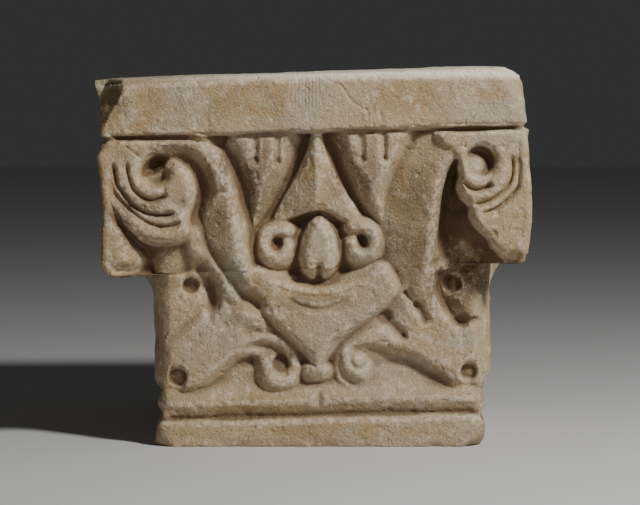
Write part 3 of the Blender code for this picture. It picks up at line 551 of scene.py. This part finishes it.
# The right half of the front, cut more broadly than the left.
SIDE_LEAF_RIGHT = [
    (3, 237), (-6, 264), (45, 268), (96, 262), (86, 238), (80, 226), (73, 214), (66, 200), (60, 187),
    (57, 174), (55.5, 155), (51, 148), (46, 159), (37, 174), (26, 189), (16, 206), (8, 223),
]
NOTCHES_RIGHT = [[(33, 241), (34, 217)], [(50, 241), (51, 217.5)]]
STEM_RIGHT = [
    (152, 229, 1), (115, 230, 1), (104, 227, 1.5), (97, 216, 2.5), (92, 203, 4), (89, 189, 6),
    (87, 174, 8.5), (85.5, 159, 11), (84, 144, 14.5), (81, 129, 19), (77, 118, 23),
]
STEM_FOOT_RIGHT = [
    (66, 232, 8), (61.5, 218, 11), (57.5, 204, 15), (54.5, 189, 19), (52.5, 174, 22), (51.5, 159, 24.5),
    (53, 144, 27),
]
VOLUTE_RIGHT = [
    (92, 238), (130, 238), (171, 238), (171, 139), (148.5, 141), (137, 145.5), (131, 152), (127.5, 158),
    (120, 165), (115, 174), (114, 182), (109, 187.5), (105, 195), (105, 204), (104.5, 213.5),
    (105, 220.5), (100, 225), (93, 230),
]
HOLLOW_RIGHT = [
    (105, 217), (106, 206), (105, 196), (109, 187.5), (114, 182), (115, 174), (120, 165), (127.5, 158),
    (131, 152), (136.5, 146), (137.5, 136), (87, 135), (88, 148), (90, 166.5), (92.5, 183), (95.5, 196),
    (100, 208.5),
]
RINGS_RIGHT = [
    ([(109, 202), (113, 197.5), (117.5, 195.3), (121.5, 195), (127, 196.5), (132, 200.5)], 4.5, 3.5),
    ([(114.5, 182.5), (122, 184.5), (130, 187), (137, 191.5), (143, 197.5), (146.5, 206), (146, 222)],
     4.5, 4.4),
    ([(120, 177), (128, 178.5), (134, 181), (141, 186), (146, 191), (151.5, 199), (153, 212), (152, 224)],
     4.5, 4),
]
EYE_RIGHT = [
    (104, 212), (108, 203), (118, 198.5), (128, 203), (133, 213), (128, 224), (118, 227), (108, 222),
]
EYE_BALL_RIGHT = [(114.5, 209, 2), (115.5, 210, 2)]
LOW_LEAF_RIGHT = [
    (61.5, 119), (70, 118), (78, 122), (85, 134), (90, 139), (97, 136), (137.5, 134), (139, 41),
    (124, 43), (114.5, 46), (107, 43.5), (100.5, 43.5), (92, 47), (81.5, 55.5), (70, 61), (59.5, 66),
    (46.5, 70), (37, 72), (42, 65), (42.5, 56), (39.5, 47), (32.5, 42), (25, 42), (18, 46), (13.5, 52.5),
    (11.5, 61.5), (12, 71), (17.5, 79.5), (26.5, 87), (37, 94), (48.5, 100), (54, 110),
]
LEAF_LINES_RIGHT = [
    ([(49.5, 101), (54.5, 94), (61, 88), (67.5, 82.5)], 5.5, 7, (0, 0.1)),
    ([(66, 118), (73, 110), (79, 102), (83, 92)], 5.5, 5.5, (0, 0.1), 0.3),
    ([(93, 136), (93, 122), (96, 111), (101.5, 102), (108, 94), (114, 89)], 9, 8.5, (0.1, 0.15), 0.3),
    ([(109, 90), (117, 95), (128, 97)], 3, 3.5, (0.2, 0)),
]
GAP_RIGHT = [(58, 110, 31), (40, 94, 32), (22, 78, 34)]     # where the leaf meets the cup
LEAF_FOOT_RIGHT = [
    (30, 73, 36), (46.5, 70, 39), (61, 66, 40), (74, 59.5, 41), (86, 51.5, 41), (97, 44.5, 40),
]
CURL_SCOOP_RIGHT = [(18, 75, 34), (15.5, 64, 36.5), (20, 52, 38), (30, 47, 38), (38, 50, 36)]
CURL_EYE_RIGHT = [(30.5, 66, 31.5), (31, 64.5, 31.5)]


def carve_right(face):
    """The side leaf and the stem."""
    face.pad(SIDE_LEAF_RIGHT, face.leaf_depth, fall=1.2, edge=18, roll=19, rim=bevel)
    carve_notches(face, NOTCHES_RIGHT)
    face.ridge(STEM_RIGHT, left=1.2, right=0.45, crest=5, blunt=0.8)
    face.valley(STEM_FOOT_RIGHT, left=1.3, right=2.5, floor=1.5, reach=9)


def carve_right_corner(face):
    """The volute over its deep hollow, with rings and eye, and the low leaf with its curl."""
    face.pad(VOLUTE_RIGHT, depth=-1, fall=3.5)
    face.sink(HOLLOW_RIGHT, rim=15, depth=16 + 7 * ease((face.z - 137) / 30), roll=13)
    for ring in RINGS_RIGHT:
        face.groove(*ring)
    face.drill((123, 216), radius=10.5, depth=14, wall=6)
    in_eye = inset(smooth_line(EYE_RIGHT, closed=True), face.x, face.z) > 0
    face.ridge(EYE_BALL_RIGHT, left=1.2, right=1.2, crest=8, where=in_eye)

    depth = LOW_LEAF_DEPTH + 2 * ease((face.z - 118) / 16)
    face.pad(LOW_LEAF_RIGHT, depth, fall=1.3, edge=9, roll=9, rim=bevel)
    face.ridge(GAP_RIGHT, left=0.3, right=0.3, crest=3)
    for line in LEAF_LINES_RIGHT:
        face.groove(*line)
    face.drill((67, 83), radius=2.4, depth=2.5)
    face.drill((103, 123), radius=6.4, depth=7, wall=2)
    face.drill((116, 57), radius=6.8, depth=8, wall=2)
    face.valley(LEAF_FOOT_RIGHT, left=1.05, right=1.0, floor=1.5)
    face.valley(CURL_SCOOP_RIGHT, left=1.2, right=0.9, floor=1.5, reach=9)
    face.drill((31, 64.5), radius=6.8, depth=5, wall=2)
    face.ridge(CURL_EYE_RIGHT, left=1.2, right=1.2, crest=3)


# Under the leaves each half has a panel, and the plain collar runs below both.
COLLAR_TOP = [(-127, 18.5), (-20.5, 21), (1, 22), (21.5, 22.5), (124, 24.5)]
PANEL_GAP = [(1.5, 44), (1, 34), (1.5, 22)]
SLAB_LINE = [(-174, 232.5), (-88, 233.5), (2, 236.5), (92, 239), (171, 241)]


def height_above(points, x, z):
    """Height above a line drawn across the face."""
    line = smooth_line(points)
    return z - np.interp(x, line[:, 0], line[:, 1])


def carve_panels(face):
    """The panels under the leaves, which turn back to the collar, and the collar itself."""
    up = height_above(COLLAR_TOP, face.x, face.z)
    gap, side, _, _ = nearest(smooth_line(PANEL_GAP), face.x, face.z)
    depth = 32.5 + 7.5 * ease((up - 9) / 22)
    depth = np.maximum(depth, 41.5 - 0.68 * np.maximum(up, 0))
    depth = np.maximum(depth, 37.5 - np.where(side > 0, 0.7, 1.2) * gap)
    depth = depth + 0.35 * np.maximum(0, face.z - 58)
    face.h = blend_max(face.h, -depth, 0.5)
    above_collar = ease((up + 0.6) / 1.6)
    face.h = face.h * above_collar - DRAWN_DEPTH * (1 - above_collar)


def carve_underside(face):
    """The bevel along the lower edge of the overhanging volutes."""
    up = face.z - (VOLUTE_BOTTOM / FIT[1] + LEAN * face.x)
    overhang = ease((np.abs(face.x) - VOLUTE_FOOT) / 6) * (up > 0)
    face.h = face.h - UNDERSIDE_SLOPE * overhang * np.maximum(0, UNDERSIDE_RISE - up)


def carve_slab(face):
    """The plain slab, and the groove cut under it."""
    up = height_above(SLAB_LINE, face.x, face.z)
    face.h = np.where(up > 0, 0, face.h)
    down = HEIGHT / FIT[1] + LEAN * face.x - face.z
    face.h = face.h - TOP_WEAR * np.clip(1 - down / TOP_WORN, 0, 1) ** 2
    in_groove = 1 - ease(np.abs(up) / SLAB_GROOVE_HALF - 1)
    face.h = face.h - np.maximum(0, SLAB_GROOVE_DEPTH + face.h) * in_groove


def carved(x, z, plain):
    """How far the carved surface of one face stands out of the slab's plane, all in metres."""
    face = Face((-np.abs(x) if plain else x) / FIT[0], z / FIT[1])
    carve_left(face, plain)
    if not plain:
        carve_right(face)
    carve_middle(face, plain)
    carve_left_corner(face, plain)
    if not plain:
        carve_right_corner(face)
    carve_panels(face)
    carve_underside(face)
    carve_slab(face)
    return face.h * FIT[2]


def rise_with_lean(rows, x):
    """Height at x of a row named by its height at the middle."""
    return rows + LEAN * x * ease(rows / VOLUTE_BOTTOM)


def row_heights():
    """Heights of the rows of points, close together at the volutes' underside and the slab's groove."""
    below = np.arange(0, VOLUTE_BOTTOM, ROW_STEP)
    above = np.arange(VOLUTE_BOTTOM + 2 * EDGE_GAP, SLAB_BOTTOM - GROOVE_ZONE, ROW_STEP)
    groove = np.arange(SLAB_BOTTOM - GROOVE_ZONE, SLAB_BOTTOM + GROOVE_ZONE, ROW_STEP / 2)
    slab = np.arange(HEIGHT, SLAB_BOTTOM + GROOVE_ZONE, -ROW_STEP)[::-1]
    underside = [VOLUTE_BOTTOM - EDGE_GAP, VOLUTE_BOTTOM + EDGE_GAP]
    return np.concatenate([below[:-1], underside, above[1:], groove, slab])


def corner_profile(rows):
    """Left and right reach of the stone at each row."""
    heights = rows / FIT[1]
    reaches = []
    for column in (1, 2):
        low = [(corner[0], corner[column]) for corner in CORNERS_BELOW]
        high = [(corner[0], corner[column]) for corner in CORNERS_ABOVE]
        below = np.interp(heights, *zip(*low)) * FIT[0]
        above = np.interp(heights, *zip(*high)) * SLAB_FIT
        reaches.append(np.where(rows < VOLUTE_BOTTOM, below, above))
    return -reaches[0], reaches[1]


def blurred(values, reach_x, reach_z):
    """A grid of values smoothed over a reach given in grid steps."""
    for axis, reach in ((0, reach_z), (1, reach_x)):
        half = int(BLUR_REACHES * reach) + 1
        weights = np.exp(-0.5 * (np.arange(-half, half + 1) / reach) ** 2)
        weights /= weights.sum()
        turned = np.moveaxis(values, axis, 0)
        padded = np.pad(turned, ((half, half), (0, 0)), mode="edge")
        turned = sum(weight * padded[k:k + len(turned)] for k, weight in enumerate(weights))
        values = np.moveaxis(turned, 0, axis)
    return values


def worn(h, rows, step):
    """Rounds the carving as weather does, and tells how hollow and how proud each point lies."""
    hollow = np.zeros(h.shape)
    arris = np.zeros(h.shape)
    for part in (rows < VOLUTE_BOTTOM, rows >= VOLUTE_BOTTOM):
        soft = blurred(h[part], SOFTEN / step, SOFTEN / ROW_STEP)
        around = blurred(soft, ARRIS / step, ARRIS / ROW_STEP)
        soft = np.minimum(soft, around + LEFT_PROUD)
        wide = blurred(soft, HOLLOW / step, HOLLOW / ROW_STEP)
        h[part] = soft
        hollow[part] = np.clip((wide - soft) / HOLLOW_FULL, 0, 1)
        arris[part] = np.clip((soft - around) / LEFT_PROUD, 0, 1)
    return h, hollow, arris


def noise(points, size, seed):
    """Smooth noise in space between -1 and 1, with bumps of the given size."""
    table = np.random.default_rng(seed).uniform(-1, 1, (NOISE_CELLS,) * 3)
    cells = points / size
    corner = np.floor(cells).astype(int)
    share = ease(cells - corner)
    total = np.zeros(points.shape[:-1])
    for step in np.ndindex(2, 2, 2):
        weight = np.prod(np.where(step, share, 1 - share), axis=-1)
        i, j, k = np.moveaxis((corner + step) % NOISE_CELLS, -1, 0)
        total += weight * table[i, j, k]
    return total


def outward(points):
    """Unit vectors out of the surface that the rings of points make."""
    across = np.roll(points, -1, axis=1) - np.roll(points, 1, axis=1)
    normal = np.cross(across, np.gradient(points, axis=0))
    return normal / np.maximum(np.linalg.norm(normal, axis=-1, keepdims=True), 1e-12)


def damaged(x, z, h):
    """Cuts the front's cracks, chips and tool marks into its worn surface."""
    face = Face(x / FIT[0], z / FIT[1])
    face.h = h / FIT[2]
    for line, *_ in RINGS_LEFT + RINGS_RIGHT:
        face.groove(line, RING_CUT, RING_CUT_HALF)
    for depth, width, line in CRACKS:
        face.groove(line, depth, width, CRACK_FADE)
    for point, radius, depth in CHIPS:
        face.drill(point, radius, depth, wall=radius)
    face.ridge(BRIDGE, left=1, right=1)
    (left, low), (right, high) = COMBED
    across, upward = COMB_FADE
    within = ease((face.x - left) / across) * ease((right - face.x) / across)
    within = within * ease((face.z - low) / upward) * (face.z < high)
    face.h = face.h - COMB_DEPTH * within * np.sin(2 * np.pi * face.x / COMB_SPACING) ** 2
    return face.h * FIT[2]


def patches(points, places):
    """How far each point lies inside one of the oval patches on the front, from 0 to 1."""
    drawn_x, drawn_z = points[..., 0] / FIT[0], points[..., 2] / FIT[1]
    share = np.zeros(drawn_x.shape)
    for x, z, wide, high in places:
        away = np.hypot((drawn_x - x) / wide, (drawn_z - z) / high)
        share = np.maximum(share, ease(PATCH_END - away))
    return share * (points[..., 1] < 0)


def bites(points, size, level, depth, seed):
    """How much is bitten out at each point, where noise of a size rises above a level."""
    return depth * np.maximum(0, noise(points, size, seed) - level) / (1 - level)


def roughened(points, proud):
    """The rings of points with the stone's uneven skin, its pits, chipped edges and rough breaks."""
    skin = sum(depth * noise(points, size, seed) for seed, (size, depth) in enumerate(SKIN))
    skin -= bites(points, *PITS) + proud * bites(points, *ARRIS_CHIPS)
    foot = np.clip(1 - points[..., 2] / FOOT_REACH, 0, 1)
    skin -= foot * bites(points, *FOOT_CHIPS)
    ragged = sum(depth * noise(points, size, seed) for size, depth, seed in RAGGED)
    skin += ragged * patches(points, ROUGH_PLACES)
    return points + outward(points) * skin[..., None]


def face_grid(rows, left, right, step, plain, lean_at):
    """Places, heights and depths of one face's points, with how hollow and how proud each one lies."""
    worn_edge = EDGE_WEAR * (1 - np.sqrt(0.5))
    inner = np.arange(-FIXED_HALF_WIDTH, FIXED_HALF_WIDTH + step / 2, step)
    outer = np.linspace(0, 1, round(OUTER_SPAN / step) + 1)[1:]
    left_part = -FIXED_HALF_WIDTH + (left[:, None] + worn_edge + FIXED_HALF_WIDTH) * outer[::-1]
    right_part = FIXED_HALF_WIDTH + (right[:, None] - worn_edge - FIXED_HALF_WIDTH) * outer
    x = np.hstack([left_part, np.tile(inner, (len(rows), 1)), right_part])
    row = np.tile(rows[:, None], (1, x.shape[1]))
    z = rise_with_lean(row, x if lean_at is None else lean_at[:, None])
    drawn_z = rise_with_lean(row, -np.abs(x)) if plain else z
    h, hollow, arris = worn(carved(x, drawn_z, plain), rows, step)
    if not plain:
        h = damaged(x, z, h)

    half = (right - left)[:, None] / 2
    centre = (right + left)[:, None] / 2
    edge = half - SLAB_HALF
    to_corner = half - np.abs(x - centre)
    h = np.maximum(h, np.minimum(edge, np.abs(x - centre) + WEB - SLAB_HALF))
    near_corner = ease(1 - to_corner / CORNER_BLEND)
    h = h * (1 - near_corner) + edge * near_corner
    turn = np.clip(EDGE_WEAR - to_corner, 0, EDGE_WEAR)
    h = h - (EDGE_WEAR - np.sqrt(EDGE_WEAR ** 2 - turn ** 2))
    return x, z, h, hollow, arris


def break_corner(points):
    """Sets back the broken upper left corner of the slab's front."""
    x, y, z = np.moveaxis(points, -1, 0)
    edge = np.interp(z / FIT[1], *zip(*BREAK_EDGE)) * SLAB_FIT
    depth = np.clip(BREAK_SLOPE * (edge - x), 0, BREAK_DEPTH) * (z > SLAB_BOTTOM)
    face = depth - SLAB_HALF
    points[..., 1] = np.where((y < face) & (depth > 0), face + BREAK_SQUEEZE * (y - face), y)
    beside = np.maximum(0, y + SLAB_HALF - BREAK_DEPTH) + np.maximum(0, x - edge)
    lowest = HEIGHT + LEAN * x - BREAK_DROP * ease(1 - beside / BREAK_REACH)
    points[..., 2] = np.minimum(z, lowest)


def stone_points():
    """Rings of points around the stone from the bed up, and their marks: hollow and proud."""
    rows = row_heights()
    left, right = corner_profile(rows)
    half = (right - left) / 2
    centre = ((right + left) / 2)[:, None]
    sides = []
    x, z, h, *marks = face_grid(rows, left, right, FRONT_STEP, False, None)
    sides.append(np.dstack([x, -(SLAB_HALF + h), z, *marks]))
    x, z, h, *marks = face_grid(rows, -half, half, PLAIN_STEP, True, right)
    sides.append(np.dstack([centre + SLAB_HALF + h, x, z, *marks]))
    x, z, h, *marks = face_grid(rows, left, right, PLAIN_STEP, True, None)
    sides.append(np.dstack([x, SLAB_HALF + h, z, *marks])[:, ::-1])
    x, z, h, *marks = face_grid(rows, -half, half, PLAIN_STEP, True, left)
    sides.append(np.dstack([centre - SLAB_HALF - h, x, z, *marks])[:, ::-1])
    rings = np.hstack([side[:, :-1] for side in sides])
    points, marks = rings[..., :3].copy(), rings[..., 3:]
    break_corner(points)
    points[-1, :, 2] = HEIGHT + LEAN * points[-1, :, 0]
    return points, marks


def with_top(points, marks):
    """Adds rings that run inward over the top bed to its middle."""
    rim = points[-1]
    middle = np.array([0, 0, HEIGHT])
    shares = np.linspace(0, 1, TOP_RINGS + 1)[1:, None, None]
    top = rim + (middle - rim) * shares
    return np.vstack([points, top]), np.vstack([marks, np.zeros(top.shape[:2] + marks.shape[2:])])


def stone_mesh():
    """The stone's mesh with its marks, and where its carving's midline lies."""
    points, marks = with_top(*stone_points())
    low, high = points.min(axis=(0, 1)), points.max(axis=(0, 1))
    shift = (low + high) / 2
    marks = [*np.moveaxis(marks, -1, 0), *(patches(points, places) for places in STAINS.values())]
    points = roughened(points, marks[1])
    points[..., :2] -= shift[:2]
    points = np.clip(points, *packed_box)

    rows, around = points.shape[:2]
    index = np.arange(rows * around).reshape(rows, around)
    following = np.roll(index, -1, axis=1)
    quads = np.stack([index[:-1], following[:-1], following[1:], index[1:]], axis=-1).reshape(-1, 4)
    faces = quads.tolist() + [index[0, ::-1].tolist()]
    mesh = bpy.data.meshes.new("capital_stone")
    mesh.from_pydata(points.reshape(-1, 3).tolist(), [], faces)
    for name, values in zip(("hollow", "proud", *STAINS), marks):
        attribute = mesh.attributes.new(name, "FLOAT", "POINT")
        attribute.data.foreach_set("value", values.ravel())
    mesh.update()
    return mesh, -shift[0]


def facets(polygons):
    """How many triangles the polygons make."""
    return sum(len(polygon.vertices) - 2 for polygon in polygons)


def reduce_facets(block, in_zone, target):
    """Reduces the facets of one zone of the block and leaves the others as they are."""
    mesh = block.data
    zone = block.vertex_groups.new(name="zone")
    zone.add([vertex.index for vertex in mesh.vertices if in_zone(vertex.co)], 1.0, "REPLACE")
    outside = facets(polygon for polygon in mesh.polygons if not in_zone(polygon.center))
    fewer = block.modifiers.new("fewer_facets", "DECIMATE")
    fewer.ratio = (outside + target) / facets(mesh.polygons)
    fewer.vertex_group = zone.name
    depsgraph = bpy.context.evaluated_depsgraph_get()
    block.data = bpy.data.meshes.new_from_object(block.evaluated_get(depsgraph))
    block.modifiers.remove(fewer)
    block.vertex_groups.clear()


# Layers of colour over the beige: colour, where they lie (a mark or the height, from where and to
# where), their patches (size, detail, and the noise between which they fade in) and their strength.
LAYERS = [
    (GREY, None, (0.055, 4, 0.42, 0.65), 0.6),
    (ORANGE, None, (0.035, 6, 0.45, 0.70), 0.45),
    (ORANGE, ("rusty", 0.1, 1.0), (0.016, 5, 0.28, 0.60), 0.8),
    (GREY, ("grey", 0.1, 1.0), (0.012, 5, 0.30, 0.60), 0.8),
    # patina, and painted shade on flanks that lie in shade
    (BROWN, ("patina_and_shade", 0.1, 1.0), (0.014, 5, 0.20, 0.55), 0.75),
    # painted shade, most of it the painted shadow under the right volute's overhang
    (DIRT_AND_SHADE, ("painted_shade", 0.1, 1.0), (0.010, 5, 0.10, 0.45), 0.6),
    (PALE, None, (0.007, 7, 0.54, 0.72), 0.3),
    # the worn top arris, painted pale also as the highlight on its lit edge
    (PALE, ("height", HEIGHT - TOP_WORN * FIT[1], HEIGHT), (0.010, 6, 0.22, 0.42), 0.95),
    # worn proud edges, painted pale also as highlight
    (PALE, ("proud", 0.5, 1.0), (0.004, 5, 0.42, 0.60), 0.3),
    (PALE, None, (0.0016, 3, 0.58, 0.72), 0.35),
    (DIRT_AND_SHADE, None, (0.0024, 6, 0.56, 0.72), 0.5),
    # dirt and painted shade, deepest in the hollows
    (DIRT_AND_SHADE, ("hollow", 0.05, 0.8), None, 0.85),
]


def stone_material():
    """Weathered marble: beige, orange patina, grey patches, worn arrises with painted highlight, dirt and
    painted shade in hollows.
    """
    material = bpy.data.materials.new("weathered_marble")
    material.use_nodes = True
    tree = material.node_tree
    shader = tree.nodes["Principled BSDF"]
    place = tree.nodes.new("ShaderNodeTexCoord").outputs["Object"]

    def between(value, low, high):
        """A share that rises from 0 to 1 while the value rises from low to high."""
        span = tree.nodes.new("ShaderNodeMapRange")
        span.interpolation_type = "SMOOTHSTEP"
        tree.links.new(value, span.inputs["Value"])
        span.inputs["From Min"].default_value = low
        span.inputs["From Max"].default_value = high
        return span.outputs["Result"]

    def mottle(size, detail, low, high):
        """A share from 0 to 1 in patches of the given size."""
        texture = tree.nodes.new("ShaderNodeTexNoise")
        tree.links.new(place, texture.inputs["Vector"])
        texture.inputs["Scale"].default_value = 1 / size
        texture.inputs["Detail"].default_value = detail
        return between(texture.outputs["Fac"], low, high)

    def within(name, low, high):
        """The same for one of the mesh's marks, or for the height above the bed."""
        if name == "height":
            axes = tree.nodes.new("ShaderNodeSeparateXYZ")
            tree.links.new(place, axes.inputs["Vector"])
            return between(axes.outputs["Z"], low, high)
        attribute = tree.nodes.new("ShaderNodeAttribute")
        attribute.attribute_name = name
        return between(attribute.outputs["Fac"], low, high)

    def times(share, factor):
        """A share times a number or another share."""
        product = tree.nodes.new("ShaderNodeMath")
        product.operation = "MULTIPLY"
        tree.links.new(share, product.inputs[0])
        if isinstance(factor, float):
            product.inputs[1].default_value = factor
        else:
            tree.links.new(factor, product.inputs[1])
        return product.outputs["Value"]

    def over(under, colour, share):
        """A colour laid over another by a share."""
        mix = tree.nodes.new("ShaderNodeMix")
        mix.data_type = "RGBA"
        tree.links.new(share, mix.inputs["Factor"])
        if under is BEIGE:
            mix.inputs["A"].default_value = (*under, 1)
        else:
            tree.links.new(under, mix.inputs["A"])
        mix.inputs["B"].default_value = (*colour, 1)
        return mix.outputs["Result"]

    result = BEIGE
    for colour, where, patch, strength in LAYERS:
        parts = [within(*where)] if where else []
        parts += [mottle(*patch)] if patch else []
        result = over(result, colour, times(reduce(times, parts), strength))
    tree.links.new(result, shader.inputs["Base Color"])
    roughness = tree.nodes.new("ShaderNodeMapRange")
    tree.links.new(mottle(*GLOSS_PATCHES), roughness.inputs["Value"])
    roughness.inputs["To Min"].default_value, roughness.inputs["To Max"].default_value = ROUGHNESS
    tree.links.new(roughness.outputs["Result"], shader.inputs["Roughness"])
    bump = tree.nodes.new("ShaderNodeBump")
    bump.inputs["Strength"].default_value = GRAIN_STRENGTH
    bump.inputs["Distance"].default_value = GRAIN_HEIGHT
    tree.links.new(mottle(*GRAIN), bump.inputs["Height"])
    tree.links.new(bump.outputs["Normal"], shader.inputs["Normal"])
    return material


def make_stone():
    """The whole stone, and where its carving's midline lies."""
    mesh, midline = stone_mesh()
    stone = bpy.data.objects.new("capital_stone", mesh)
    bpy.context.scene.collection.objects.link(stone)
    reduce_facets(stone, lambda point: point.y > -FRONT_ZONE, PLAIN_FACETS)
    reduce_facets(stone, lambda point: point.y <= -FRONT_ZONE, FRONT_FACETS)
    stone.data.materials.append(stone_material())
    stone.data.shade_smooth()
    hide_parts("capital_block")
    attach(stone, "root")
    return midline


def floor_material():
    material = bpy.data.materials.new("pale_floor")
    material.use_nodes = True
    shader = material.node_tree.nodes["Principled BSDF"]
    shader.inputs["Base Color"].default_value = (*FLOOR_COLOUR, 1)
    shader.inputs["Roughness"].default_value = FLOOR_ROUGHNESS
    return material


def make_floor():
    """A flat square floor at the level of the bottom bed."""
    mesh = bpy.data.meshes.new("floor")
    corners = [(FLOOR_HALF * x, FLOOR_HALF * y, 0) for x, y in ((-1, -1), (1, -1), (1, 1), (-1, 1))]
    mesh.from_pydata(corners, [], [(0, 1, 2, 3)])
    mesh.materials.append(floor_material())
    floor = bpy.data.objects.new("floor", mesh)
    bpy.context.scene.collection.objects.link(floor)


def look_from(thing, place, at):
    """Stands a lamp or a camera at a place and turns it to look at another."""
    thing.location = place
    thing.rotation_euler = (Vector(at) - Vector(place)).to_track_quat("-Z", "Y").to_euler()


def make_lights():
    """A hard key from the upper right, a broad weak fill and an even studio around them."""
    for name, place, size, power in LIGHTS:
        light = bpy.data.lights.new(name, "AREA")
        light.size = size
        light.energy = power
        lamp = bpy.data.objects.new(name, light)
        bpy.context.scene.collection.objects.link(lamp)
        look_from(lamp, place, (0, 0, HEIGHT / 2))
    world = bpy.data.worlds.new("studio")
    world.use_nodes = True
    background = world.node_tree.nodes["Background"]
    background.inputs["Color"].default_value = (*STUDIO_COLOUR, 1)
    background.inputs["Strength"].default_value = STUDIO_STRENGTH
    bpy.context.scene.world = world


def make_camera(midline):
    """A camera straight in front, whose frame is VIEW_WIDTH wide at the slab's front."""
    lens = bpy.data.cameras.new("camera")
    lens.sensor_width = SENSOR_WIDTH
    lens.lens = SENSOR_WIDTH * np.hypot(VIEW_DISTANCE, CAMERA_HEIGHT - VIEW_CENTRE[1]) / VIEW_WIDTH
    camera = bpy.data.objects.new("camera", lens)
    bpy.context.scene.collection.objects.link(camera)
    x = midline + VIEW_CENTRE[0]
    front = -SLAB_HALF
    look_from(camera, (x, front - VIEW_DISTANCE, CAMERA_HEIGHT), (x, front, VIEW_CENTRE[1]))
    bpy.context.scene.camera = camera


midline = make_stone()
make_camera(midline)
make_floor()
make_lights()
